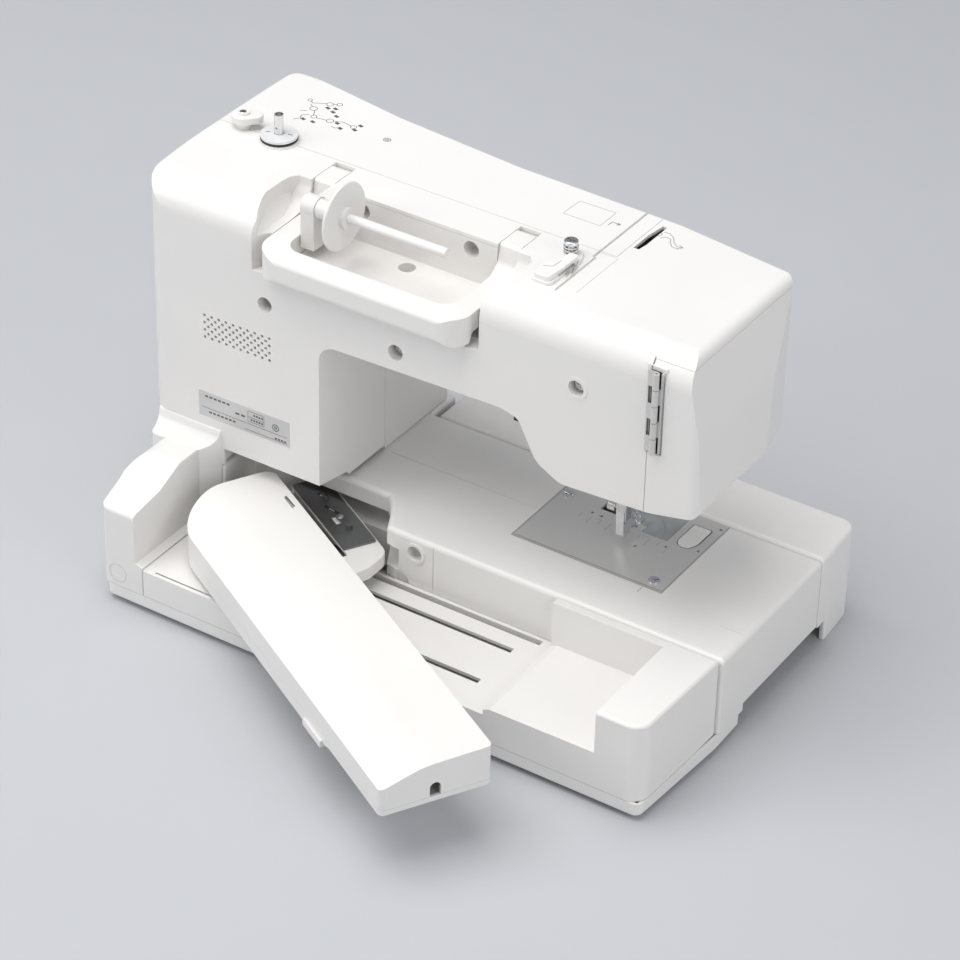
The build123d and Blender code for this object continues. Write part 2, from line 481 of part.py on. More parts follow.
# ---- Frame, main shaft, motor and belt -----------------------------------------------------------------
WEB_Y = (-85.5, -76.5)
BUSH_X = (154, 300, 464)
LOWER_BUSH_X = (250, 395)
with BuildPart() as arm_frame:
    box((150, 468), WEB_Y, (217.5, 274))
    box((133, 151), (-82.5, WEB_Y[1]), (217.5, 252))
    box((112, 134), (-82.5, WEB_Y[1]), (181, 269))
    box((336, 384), WEB_Y, (PAN_BOTTOM + WALL, 218))
    box((200, 290), (-90, -70), (228, 262), mode=Mode.SUBTRACT)
    box((345, 376), (-90, -70), (100, 200), mode=Mode.SUBTRACT)
    box((180, 404), (-75.5, -68), (24.5, 62))
    box((112, 181), (-75.5, -68), (24.5, 34))
    box((336, 384), (-77, -75), (24.5, 62))
    for x in BUSH_X:
        box((x - 4, x + 4), (WEB_Y[1], SHAFT_Y + 12), (SHAFT_Z - 12, SHAFT_Z + 12))
        bar((x, SHAFT_Y, SHAFT_Z), 8, 20, "X", mode=Mode.SUBTRACT)
    for x in LOWER_BUSH_X:
        box((x - 4, x + 4), (-68.5, LOWER_Y + 12), (LOWER_Z - 12, LOWER_Z + 12))
        bar((x, LOWER_Y, LOWER_Z), 7, 20, "X", mode=Mode.SUBTRACT)
    for z in (181, 263):
        box((114, 132), (WEB_Y[1], PRESSER_Y + 7), (z, z + 6))
        for y in (NEEDLE[1], PRESSER_Y):
            bar((NEEDLE[0], y, z), 3.05, 20, mode=Mode.SUBTRACT)
    box((112, 136), (-69, HOOK_Y + 7.3), (28, 34))
    bar((NEEDLE[0], HOOK_Y, 31), 3.05, 20, mode=Mode.SUBTRACT)
    box((146, 153), (-83, -53), (250, 284))
    bar((142.5, -58, 278), 1.5, 12, "X")
    for x in (330, 390):
        box((x, x + 10), (-75.5, -68), (PAN_BOTTOM + WALL, 30))
keep("arm_frame", arm_frame.part)

with BuildPart() as shaft_bushes:
    for x in BUSH_X:
        bar((x, SHAFT_Y, SHAFT_Z), 8, 8, "X")
        bar((x, SHAFT_Y, SHAFT_Z), 5.05, 12, "X", mode=Mode.SUBTRACT)
    for x in LOWER_BUSH_X:
        bar((x, LOWER_Y, LOWER_Z), 7, 8, "X")
        bar((x, LOWER_Y, LOWER_Z), 4.05, 12, "X", mode=Mode.SUBTRACT)
keep("shaft_bushes", shaft_bushes.part)

with BuildPart() as main_shaft:
    bar(((142 + 494) / 2, SHAFT_Y, SHAFT_Z), 5, 352, "X")
keep("main_shaft", main_shaft.part)

with BuildPart() as crank:
    bar((139, SHAFT_Y, SHAFT_Z), 18, 6, "X")
    bar((145, SHAFT_Y, SHAFT_Z), 9, 6, "X")
    bar((145, SHAFT_Y, SHAFT_Z), 5, 6, "X", mode=Mode.SUBTRACT)
    bar((134, SHAFT_Y, SHAFT_Z + CRANK_R), 3, 8, "X")
keep("crank", crank.part)

with BuildPart() as upper_pulley:
    bar((BELT_X - 0.5, SHAFT_Y, SHAFT_Z), PULLEY_R, 9, "X")
    bar((BELT_X - 0.5, SHAFT_Y, SHAFT_Z), 5, 20, "X", mode=Mode.SUBTRACT)
keep("upper_pulley", upper_pulley.part)

with BuildPart() as handwheel:
    bar((488.5, SHAFT_Y, SHAFT_Z), 30, 15, "X")
    fillet(handwheel.edges(), 3)
    bar((496, SHAFT_Y, SHAFT_Z), 21, 4, "X", mode=Mode.SUBTRACT)
    bar((488.5, SHAFT_Y, SHAFT_Z), 5, 30, "X", mode=Mode.SUBTRACT)
    with Locations(Plane(origin=(488.5, SHAFT_Y, SHAFT_Z), z_dir=(1, 0, 0))):
        with PolarLocations(31, 24):
            Cylinder(2.2, 20, mode=Mode.SUBTRACT)
keep("handwheel", handwheel.part)

with BuildPart() as lower_shaft:
    bar(((130 + 456) / 2, LOWER_Y, LOWER_Z), 4, 326, "X")
keep("lower_shaft", lower_shaft.part)
with BuildPart() as lower_pulley:
    bar((BELT_X - 0.5, LOWER_Y, LOWER_Z), PULLEY_R, 9, "X")
    bar((BELT_X - 0.5, LOWER_Y, LOWER_Z), 4, 20, "X", mode=Mode.SUBTRACT)
keep("lower_pulley", lower_pulley.part)


def grooved_wheel(plane, radius, thick, bore, teeth):
    """A gear wheel whose fine teeth stop short of its mate, so the two never touch."""
    with BuildPart() as wheel:
        with BuildSketch(plane):
            Circle(radius)
            with PolarLocations(radius + 0.35, teeth):
                Circle(1.0, mode=Mode.SUBTRACT)
            Circle(bore, mode=Mode.SUBTRACT)
        extrude(amount=thick)
    return wheel.part


lower_gear = grooved_wheel(Plane(origin=(119, LOWER_Y, LOWER_Z), z_dir=(1, 0, 0)), 16, 11, 0.5, 32)
with BuildPart() as lower_gear_part:
    add(lower_gear)
    bar((134, LOWER_Y, LOWER_Z), 7, 8, "X")
    bar((134, LOWER_Y, LOWER_Z), 4, 8, "X", mode=Mode.SUBTRACT)
keep("lower_gear", lower_gear_part.part)
keep("hook_gear", grooved_wheel(Plane.XY.offset(LOWER_Z - 4).shift_origin((NEEDLE[0], HOOK_Y, LOWER_Z - 4)),
                                8, 8, 3, 16))

with BuildPart() as rotary_hook:
    bar((NEEDLE[0], HOOK_Y, 44.25), 3, 28.5)
    bar((NEEDLE[0], HOOK_Y, 63), 16, 13)
    bar((NEEDLE[0], HOOK_Y, 65.5), 13.6, 14, mode=Mode.SUBTRACT)
    box((NEEDLE[0] + 6, NEEDLE[0] + 20), (HOOK_Y - 20, HOOK_Y - 4), (64, 72), mode=Mode.SUBTRACT)
keep("rotary_hook", rotary_hook.part)
with BuildPart() as bobbin_case:
    bar((NEEDLE[0], HOOK_Y, 65.1), 13.2, 11.8)
    bar((NEEDLE[0], HOOK_Y, 67.2), 12.2, 14, mode=Mode.SUBTRACT)
    bar((NEEDLE[0], HOOK_Y, 64.2), 2.9, 10)
    box((NEEDLE[0] - 21, NEEDLE[0] - 12.6), (HOOK_Y - 3, HOOK_Y + 3), (69.9, 71))
keep("bobbin_case", bobbin_case.part)
with BuildPart() as bobbin:
    bar((NEEDLE[0], HOOK_Y, 65.6), 10.4, 9.6)
    bar((NEEDLE[0], HOOK_Y, 65.6), 12, 7.6, mode=Mode.SUBTRACT)
    bar((NEEDLE[0], HOOK_Y, 65.6), 4.4, 9.6)
    bar((NEEDLE[0], HOOK_Y, 65.6), 3.0, 20, mode=Mode.SUBTRACT)
keep("bobbin", bobbin.part)

with BuildPart() as main_motor:
    bar((418, MOTOR_Y, MOTOR_Z), 26, 44, "X")
    fillet(main_motor.edges(), 2)
    box((384, 398), (WEB_Y[0], -40), (100, 140))
    bar((446, MOTOR_Y, MOTOR_Z), 3.05, 40, "X", mode=Mode.SUBTRACT)
keep("main_motor", main_motor.part)
with BuildPart() as motor_pulley:
    bar((444, MOTOR_Y, MOTOR_Z), 3, 20, "X")
    bar((BELT_X - 0.5, MOTOR_Y, MOTOR_Z), MOTOR_PULLEY_R, 9, "X")
keep("motor_pulley", motor_pulley.part)

belt_length = ((SHAFT_Y - LOWER_Y) ** 2 + (SHAFT_Z - LOWER_Z) ** 2) ** 0.5
belt_plane = Plane(origin=(BELT_X - 4, (SHAFT_Y + LOWER_Y) / 2, (SHAFT_Z + LOWER_Z) / 2),
                   x_dir=(0, SHAFT_Y - LOWER_Y, SHAFT_Z - LOWER_Z), z_dir=(1, 0, 0))
with BuildPart() as timing_belt:
    with BuildSketch(belt_plane):
        SlotCenterToCenter(belt_length, 2 * (PULLEY_R + 1.9))
        SlotCenterToCenter(belt_length, 2 * (PULLEY_R + 0.3), mode=Mode.SUBTRACT)
    extrude(amount=7)
keep("timing_belt", timing_belt.part)

# ---- Needle, presser and thread parts -------------------------------------------------------------------
with BuildPart() as needle_bar:
    bar((*NEEDLE, 206), 3, 176)
    box((119.5, 129.3), (NEEDLE[1] - 6, NEEDLE[1] + 6), (244, 254))
keep("needle_bar", needle_bar.part)
with BuildPart() as needle_clamp:
    bar((*NEEDLE, 121), 5, 14)
    bar((NEEDLE[0] - 7, NEEDLE[1], 118.5), 2, 12, "X")
    bar((NEEDLE[0] - 12, NEEDLE[1], 118.5), 4, 4, "X")
    bar((*NEEDLE, 124), 3, 12, mode=Mode.SUBTRACT)
    bar((*NEEDLE, 116), 1.0, 6, mode=Mode.SUBTRACT)
keep("needle_clamp", needle_clamp.part)
with BuildPart() as needle:
    bar((*NEEDLE, 112), 1.0, 12)
    bar((*NEEDLE, 98.5), 0.5, 15)
    with Locations((*NEEDLE, 88)):
        Cone(0.05, 0.5, 6)
keep("needle", needle.part)
with BuildPart() as presser_bar:
    bar((NEEDLE[0], PRESSER_Y, 197), 3, 174)
    box((119, 129), (PRESSER_Y - 5, PRESSER_Y + 5), (215, 223))
keep("presser_bar", presser_bar.part)
with BuildPart() as embroidery_foot:
    box((120, 128), (PRESSER_Y - 3.5, PRESSER_Y + 4.5), (96, 110))
    bar((NEEDLE[0], PRESSER_Y, 112), 3, 24, mode=Mode.SUBTRACT)
    box((121, 127), (PRESSER_Y + 3, PRESSER_Y + 5.5), (84, 104))
    box((121, 127), (NEEDLE[1] + 4, PRESSER_Y + 5), (84, 86))
    bar((*NEEDLE, 85), 6, 2)
    bar((*NEEDLE, 85), 3.6, 10, mode=Mode.SUBTRACT)
    bar((133, PRESSER_Y, 103), 4, 6, "X")
    bar((129, PRESSER_Y, 103), 1.5, 6, "X")
keep("embroidery_foot", embroidery_foot.part)
with BuildPart() as presser_lifter:
    box((168, 176), (40, 46), (203, 250))
    bar((172, 43, 250), 6, 6, "Y")
    box((170, 174), (38, 48), (197, 206))
    bar((172, 43, 250), 2.05, 20, "Y", mode=Mode.SUBTRACT)
keep("presser_lifter", presser_lifter.part)
with BuildPart() as take_up_lever:
    box((137.5, 140), (-79, -54), (276, 280))
    bar((138.7, -58, 278), 4, 2.5, "X")
    bar((138.7, -58, 278), 1.55, 8, "X", mode=Mode.SUBTRACT)
    bar((138.7, -79, 279), 4, 2.5, "X")
    bar((138.7, -79, 279), 1.6, 8, "X", mode=Mode.SUBTRACT)
keep("take_up_lever", take_up_lever.part)

# ---- Needle plate and hook cover -----------------------------------------------------------------------
PLATE_X, PLATE_Y = (68.3, 191.3), (BED_FRONT + 2.3, 18.9)
COVER_X, COVER_Y = (97, 138.8), (BED_FRONT + 4.5, -44.5)
TAB_X, TAB_Y = (97, 117.2), (-50, -37.2)
with BuildPart() as needle_plate:
    box(PLATE_X, PLATE_Y, (BED_TOP - 2, BED_TOP))
    box((COVER_X[0] - 0.4, COVER_X[1] + 0.4), (COVER_Y[0] - 0.4, COVER_Y[1] + 0.4), (70, 80), mode=Mode.SUBTRACT)
    box((TAB_X[0] - 0.4, TAB_X[1] + 0.4), (TAB_Y[0], TAB_Y[1] + 0.4), (70, 80), mode=Mode.SUBTRACT)
    prism([(76.2, -66), (76.2, -36.4), (91.6, -36.4), (91.6, -66)], 70, 80, mode=Mode.SUBTRACT, radius=[1, 7, 7, 1])
    bar((*NEEDLE, 77), 1.3, 6, mode=Mode.SUBTRACT)
    box((140.3, 156.3), (-55.8, -44.3), (70, 80), mode=Mode.SUBTRACT)
    for x, y in ((112.2, -19), (150.5, -36.7), (158.2, -36.7), (72.5, -38.8), (72.2, -70.4), (94, -30.5)):
        bar((x, y, 77), 1.1, 6, mode=Mode.SUBTRACT)
    for x, y in ((184, -46), (80, 9)):
        bar((x, y, 77), 1.6, 6, mode=Mode.SUBTRACT)
keep("needle_plate", needle_plate.part)
with BuildPart() as needle_plate_screws:
    for x, y in ((184, -46), (80, 9)):
        bar((x, y, 78.6), 4, 1.2)
        bar((x, y, 75), 1.6, 6.2)
        box((x - 5, x + 5), (y - 0.5, y + 0.5), (78.6, 80), mode=Mode.SUBTRACT)
keep("needle_plate_screws", needle_plate_screws.part)
with BuildPart() as hook_cover:
    box(COVER_X, COVER_Y, (BED_TOP - 2, BED_TOP))
    box(TAB_X, TAB_Y, (BED_TOP - 2, BED_TOP))
keep("hook_cover", hook_cover.part)
with BuildPart() as cover_release:
    prism([(76.9, -65.4), (76.9, -37.1), (90.9, -37.1), (90.9, -65.4)], BED_TOP - 2.4, BED_TOP - 0.1,
          radius=[1, 6.4, 6.4, 1])
    box((78.5, 89.3), (-64, -61.5), (BED_TOP - 1, BED_TOP + 0.5))
keep("cover_release", cover_release.part)

# ---- Extension table --------------------------------------------------------------------------------------
with BuildPart() as extension_table:
    prism([(-5.4, BED_FRONT - 0.4), (-2, TABLE_FRONT), (318, TABLE_FRONT), (318, BED_FRONT - 0.4)],
          FREE_ARM_BOTTOM - 2, BED_TOP, radius=[1, 10, 14, 1])
    fillet(extension_table.faces().sort_by(Axis.Z)[-1].edges().sort_by(Axis.Y)[:1], 4)
    prism([(-2.5, BED_FRONT - 3), (0.5, TABLE_FRONT + WALL), (315, TABLE_FRONT + WALL), (315, BED_FRONT - 3)],
          0, BED_TOP - WALL, mode=Mode.SUBTRACT, radius=[1, 8, 11, 1])
    prism([(-4.9, -92), (-2, TABLE_FRONT), (26, TABLE_FRONT), (26, -92)], 0.3, FREE_ARM_BOTTOM + 2,
          radius=[2, 10, 10, 2])
    prism([(-2.3, -60), (0.5, TABLE_FRONT + WALL), (23, TABLE_FRONT + WALL), (23, -60)], -1, FREE_ARM_BOTTOM + 3,
          mode=Mode.SUBTRACT, radius=[1, 8, 8, 1])
    box((250, 314), (TABLE_FRONT + 4, -124), (0.3, 40))
keep("extension_table", extension_table.part)

# ---- Bobbin winder, thread guide, small outside parts -------------------------------------------------------
with BuildPart() as winder_spindle:
    bar((*WINDER, 311), 3.3, 16)
    bar((*WINDER, 297.6), 3.0, 11.2)
    bar((*WINDER, 302.4), 13.4, 1.4)
    bar((*WINDER, 300.8), 8, 2.2)
    bar((*WINDER, 319), 2.1, 8, mode=Mode.SUBTRACT)
    bar((WINDER[0], WINDER[1] + 3, 309), 0.8, 4, "Y", mode=Mode.SUBTRACT)
    for x in (-9, 9):
        box((WINDER[0] + x - 0.6, WINDER[0] + x + 0.6), (WINDER[1] - 4, WINDER[1] + 4), (301.5, 304), mode=Mode.SUBTRACT)
keep("winder_spindle", winder_spindle.part)
with BuildPart() as winder_stopper:
    with BuildSketch(Plane.XY.offset(303.5)) as cap:
        with Locations((STOPPER[0], STOPPER[1])):
            Circle(8.6)
        with Locations((STOPPER[0] - 8, STOPPER[1] - 4)):
            Circle(5.4)
        make_hull()
    extrude(amount=5.5)
    fillet(winder_stopper.faces().sort_by(Axis.Z)[-1].edges(), 1.2)
    bar((*STOPPER, 301), 5.4, 5.7)
    bar((*STOPPER, 309.6), 4.4, 1.8)
    for across in ((6, 1.1), (1.1, 6)):
        box((STOPPER[0] - across[0] / 2, STOPPER[0] + across[0] / 2),
            (STOPPER[1] - across[1] / 2, STOPPER[1] + across[1] / 2), (309.4, 312), mode=Mode.SUBTRACT)
keep("winder_stopper", winder_stopper.part)
with BuildPart() as thread_guide:
    with BuildSketch(Plane.XY.offset(BODY_TOP + 0.05)) as guide_plan:
        with BuildLine():
            FilletPolyline((160.6, 30), (176.4, 30), (177.6, -14), (172, -20), (164, -19), (159.4, -8),
                           radius=[4, 4, 5, 4, 4, 6], close=True)
        make_face()
    extrude(amount=2.2)
    with BuildSketch(Plane.XY.offset(BODY_TOP + 2)) as guide_top:
        with BuildLine():
            FilletPolyline((162.4, 28.6), (174.6, 28.6), (176, 12), (169.4, 3), (167.6, -8), (160.6, -8), (161, 12),
                           radius=[3, 3, 4, 5, 2, 2, 20], close=True)
        make_face()
    extrude(amount=4.2)
    fillet(thread_guide.faces().sort_by(Axis.Z)[-1].edges(), 0.9)
    box((158, 163.4), (-1, 18), (BODY_TOP + 1.4, BODY_TOP + 3.6), mode=Mode.SUBTRACT)
keep("thread_guide", thread_guide.part)
with BuildPart() as thread_stud:
    foot_z = BODY_TOP + 2.3
    bar((170.6, -13, foot_z + 4.7), 2.4, 9.4)
    for height, wide in ((0.5, 5.0), (3.2, 5.2), (5.2, 5.2)):
        bar((170.6, -13, foot_z + height), wide, 0.9)
    bar((170.6, -13, foot_z + 8.6), 5.0, 2.6)
    fillet(thread_stud.faces().sort_by(Axis.Z)[-1].edges(), 1)
    for across in ((6, 1.1), (1.1, 6)):
        box((170.6 - across[0] / 2, 170.6 + across[0] / 2), (-13 - across[1] / 2, -13 + across[1] / 2),
            (foot_z + 9.2, foot_z + 12), mode=Mode.SUBTRACT)
keep("thread_stud", thread_stud.part)
with BuildPart() as casing_screws:
    for x, z in rear_wall_screws:
        bar((x, 54.6, z), 4.2, 3, "Y")
        bar((x, 48, z), 2.2, 12, "Y")
        box((x - 3, x + 3), (55.2, 58), (z - 0.6, z + 0.6), mode=Mode.SUBTRACT)
        box((x - 0.6, x + 0.6), (55.2, 58), (z - 3, z + 3), mode=Mode.SUBTRACT)
keep("casing_screws", casing_screws.part)
with BuildPart() as sewing_lamp:
    box((188, 217), (-1, 27), (ARM_UNDERSIDE + 5, ARM_UNDERSIDE + 11))
    box((191.4, 213.6), (1.4, 24.6), (ARM_UNDERSIDE + 1, ARM_UNDERSIDE + 6))
keep("sewing_lamp", sewing_lamp.part)
with BuildPart() as display_screen:
    box((PILLAR_INNER + 31, 439), (-101, -98), (131, 201))
keep("display_screen", display_screen.part)
with BuildPart() as start_button:
    bar((BUTTON_X, -82, 200), 6, 11, "Y")
    fillet(start_button.faces().sort_by(Axis.Y)[0].edges(), 1)
    bar((BUTTON_X, -76.5, 200), 8, 2, "Y")
keep("start_button", start_button.part)
with BuildPart() as speed_slider:
    box((78, 86), (-91, -76.5), (222.4, 225.6))
    box((74, 90), (-77.5, -75.5), (219, 229))
keep("speed_slider", speed_slider.part)
with BuildPart() as power_inlet:
    box((455, 466.4), (-100, -60), (20, 50))
    box((458, 470), (-94, -66), (25, 45), mode=Mode.SUBTRACT)
    for y, z in ((-86, 32), (-74, 32), (-80, 39)):
        bar((462, y, z), 1.5, 8, "X")
keep("power_inlet", power_inlet.part)
with BuildPart() as power_switch:
    side_profile([(-90, 56), (-90, 68), (-70, 68), (-70, 56)], (460, 466.6), [1.5] * 4)
    bar((461.5, -80, 62), 1.5, 22, "Y")
keep("power_switch", power_switch.part)

# ---- Embroidery arm -------------------------------------------------------------------------------------------
turn = radians(ARM_ANGLE)
ARM = Plane(origin=(*PIVOT, 0), x_dir=(-cos(turn), sin(turn), 0), z_dir=(0, 0, 1))


def arm_form(inset, bottom, top):
    """The embroidery arm's outer form between two heights, lying along local +X from its pivot at the origin."""
    plan_corners = [(ARM_BACK, ARM_FRONT), (ARM_TIP, ARM_FRONT), (ARM_TIP, ARM_REAR), (ARM_BACK, ARM_REAR)]
    with BuildPart() as form:
        with BuildSketch(Plane.XY.offset(bottom)) as plan:
            with BuildLine():
                FilletPolyline(*plan_corners, radius=[9, 4, 4, 44], close=True)
            make_face()
            if inset:
                offset(amount=-inset)
        extrude(plan.sketch, amount=top - bottom)
        crown = [(ARM_FRONT + 20, ARM_TOP - inset), (-40, ARM_TOP - 1.5 - inset), (-74, ARM_TOP - 12 - inset),
                 (-90, ARM_TOP - 30 - inset), (-90, 0), (ARM_FRONT + 20, 0)]
        side_profile(crown, (-120, 400), [1, 60, 20, 1, 1, 1], mode=Mode.INTERSECT)
        with BuildSketch(Plane.XZ) as belly:
            with BuildLine():
                Polyline((-120, ARM_BOTTOM + inset), (196, ARM_BOTTOM + inset), (216, ARM_BOTTOM + 5.5 + inset),
                         (400, ARM_BOTTOM + 5.5 + inset), (400, 120), (-120, 120), close=True)
            make_face()
        extrude(belly.sketch, amount=120, both=True, mode=Mode.INTERSECT)
    return form.part


def to_arm(part):
    """A piece made along +X, laid in the swung-out arm: local +Y is the needle side."""
    return ARM.from_local_coords(part)


RAILS = ((-1, 60), (-12, 55))      # (y, z) of the two guide rails inside the arm
with BuildPart() as arm_cover:
    add(arm_form(0, ARM_SEAM + 0.2, ARM_TOP))
    add(arm_form(2.2, ARM_SEAM - 1, ARM_TOP), mode=Mode.SUBTRACT)
    box((8, 282), (ARM_FRONT - 6, ARM_FRONT + 4), (ARM_SEAM - 1, 57), mode=Mode.SUBTRACT)
    bar((ARM_TIP, -31, 57), 4, 20, "X", mode=Mode.SUBTRACT)
    box((ARM_TIP - 10, ARM_TIP + 10), (-35, -27), (49, 57), mode=Mode.SUBTRACT)
    box((-21, -6), (3.3, 4.5), (70, 80), mode=Mode.SUBTRACT)
with BuildPart() as arm_base:
    add(arm_form(0, ARM_BOTTOM, ARM_SEAM))
    add(arm_form(2.2, ARM_BOTTOM, ARM_SEAM + 5), mode=Mode.SUBTRACT)
    bar((0, 0, 49), 8.1, 14.8)
    for low, high, floor in ((9, 14, ARM_BOTTOM + 1.5), (283, 288, ARM_BOTTOM + 7)):
        box((low, high), (-16, 5), (floor, 64))
        for y, z in RAILS:
            bar((low + 2.5, y, z), 2.5, 10, "X", mode=Mode.SUBTRACT)
    bar((0, 0, 49), 6.05, 40, mode=Mode.SUBTRACT)
    box((178, 206), (ARM_REAR - 2, ARM_REAR + 8), (ARM_BOTTOM - 0.4, ARM_BOTTOM + 5))
with BuildPart() as arm_rails:
    for y, z in RAILS:
        bar((148.5, y, z), 2.5, 279, "X")
outline = [(-58, ARM_FRONT + 0.5), (-58, CARRIAGE_OUT), (46.4, CARRIAGE_OUT - 1), (57.4, 34), (59.2, 24),
           (59.2, ARM_FRONT + 0.5)]
with BuildPart() as hoop_carriage:
    prism(outline, CARRIAGE_BOTTOM, CARRIAGE_TOP, radius=[2, 18, 12, 8, 4, 2])
    fillet(hoop_carriage.faces().sort_by(Axis.Z)[-1].edges(), 0.8)
    prism([(-54, 20), (-54, 49), (44, 48), (53, 32), (54, 20)], CARRIAGE_BOTTOM - 1, CARRIAGE_TOP - 2.2,
          mode=Mode.SUBTRACT, radius=[1, 14, 9, 5, 1])
    box((16, 46), (-16, 10), (51, 64.5))
    box((16, 46), (ARM_FRONT - 5, ARM_FRONT + 3), (51, 56))
    for y, z in RAILS:
        bar((31, y, z), 2.55, 60, "X", mode=Mode.SUBTRACT)
    box((12, 50), (4, 10), (56, 70), mode=Mode.SUBTRACT)
    box((-60, 38), (12.5, 26), (53, 60), mode=Mode.SUBTRACT)
with BuildPart() as hoop_plate:
    prism([(-57, 26), (-57, 51.5), (32, 51.5), (32, 26)], CARRIAGE_TOP + 0.02, CARRIAGE_TOP + 1.4,
          radius=[1, 16, 2, 1])
    for x in (-30, 10):
        bar((x, 40, CARRIAGE_TOP + 3), 2.5, 4)
    box((-8, 2), (34, 38), (CARRIAGE_TOP - 1, CARRIAGE_TOP + 4), mode=Mode.SUBTRACT)
for name, made in (("arm_cover", arm_cover), ("arm_base", arm_base), ("arm_rails", arm_rails),
                   ("hoop_carriage", hoop_carriage), ("hoop_plate", hoop_plate)):
    keep(name, ARM.from_local_coords(made.part))

# ---- Slide that carries the arm's pivot under the tray ------------------------------------------------
SLIDE_Y = (70.0, 102.0)
with BuildPart() as x_rails:
    for y in SLIDE_Y:
        bar((270, y, 24), 3, 260, "X")
    for x in (144, 396):
        box((x - 4, x + 4), (66, 108), (PAN_BOTTOM + WALL, 31))
keep("x_rails", x_rails.part)
with BuildPart() as x_carriage:
    box((313, 353), (66, 106), (18.5, 31))
    box((325, 341), (84.2, 87.8), (30, 38))
    bar((*PIVOT, 38.6), 16, 2.6)
    bar((*PIVOT, 52), 6, 28)
    bar((*PIVOT, 60), 7.8, 3)
    for y in SLIDE_Y:
        bar((333, y, 24), 3.05, 60, "X", mode=Mode.SUBTRACT)
keep("x_carriage", x_carriage.part)

# ---- Export: origin on the table under the middle of the machine ---------------------------------------
low = Vector(*[min(getattr(p.bounding_box().min, axis) for p in pieces.values()) for axis in "XYZ"])
high = Vector(*[max(getattr(p.bounding_box().max, axis) for p in pieces.values()) for axis in "XYZ"])
shift = Vector(-(low.X + high.X) / 2, -(low.Y + high.Y) / 2, -low.Z)
for name, piece in pieces.items():
    placed = piece.moved(Location(shift))
    placed.label = name
    export_step(placed, f"parts/{name}.step")
print("moved by", [round(v, 3) for v in shift], "size", [round(v, 2) for v in high - low])
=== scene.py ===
import math

import bmesh
import bpy
from mathutils import Matrix, Vector
from mathutils.bvhtree import BVHTree


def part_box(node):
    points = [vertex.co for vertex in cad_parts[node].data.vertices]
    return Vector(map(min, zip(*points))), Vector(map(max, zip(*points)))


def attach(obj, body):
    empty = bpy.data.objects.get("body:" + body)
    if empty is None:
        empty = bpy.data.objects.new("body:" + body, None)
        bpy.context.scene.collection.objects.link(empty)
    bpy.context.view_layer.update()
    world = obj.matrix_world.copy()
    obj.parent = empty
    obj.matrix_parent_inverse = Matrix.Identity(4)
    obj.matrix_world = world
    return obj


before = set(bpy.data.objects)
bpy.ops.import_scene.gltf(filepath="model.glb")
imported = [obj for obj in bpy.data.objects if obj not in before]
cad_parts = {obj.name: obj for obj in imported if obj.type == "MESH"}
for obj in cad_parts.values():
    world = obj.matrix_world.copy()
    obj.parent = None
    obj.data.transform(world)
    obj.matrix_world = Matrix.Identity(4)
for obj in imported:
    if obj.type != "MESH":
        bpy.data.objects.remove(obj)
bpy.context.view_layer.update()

scene = bpy.context.scene
scene.view_settings.view_transform = "Standard"

# Machine coordinates start at the head end of the bed, and the shared frame in the middle of the CAD box.
MACHINE_X, MACHINE_Y = 245.003, 79.012


def P(x, y, z):
    """Machine coordinates in millimetres to the shared frame in metres."""
    return Vector(((x - MACHINE_X) / 1000, (y - MACHINE_Y) / 1000, z / 1000))


def corners_mm(node):
    """The lowest and highest x and y of a CAD node in machine millimetres: x0, y0, x1, y1."""
    low_corner, high_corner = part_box(node)
    return (low_corner[0] * 1000 + MACHINE_X, low_corner[1] * 1000 + MACHINE_Y,
            high_corner[0] * 1000 + MACHINE_X, high_corner[1] * 1000 + MACHINE_Y)


# ---- Materials ---------------------------------------------------------------------------------------
CLOUD_SCALE = 14            # size of the soft variation over a surface
BUMP_DEPTH = 0.0004         # metres, before the strength given for each material
COAT_ROUGH = 0.15


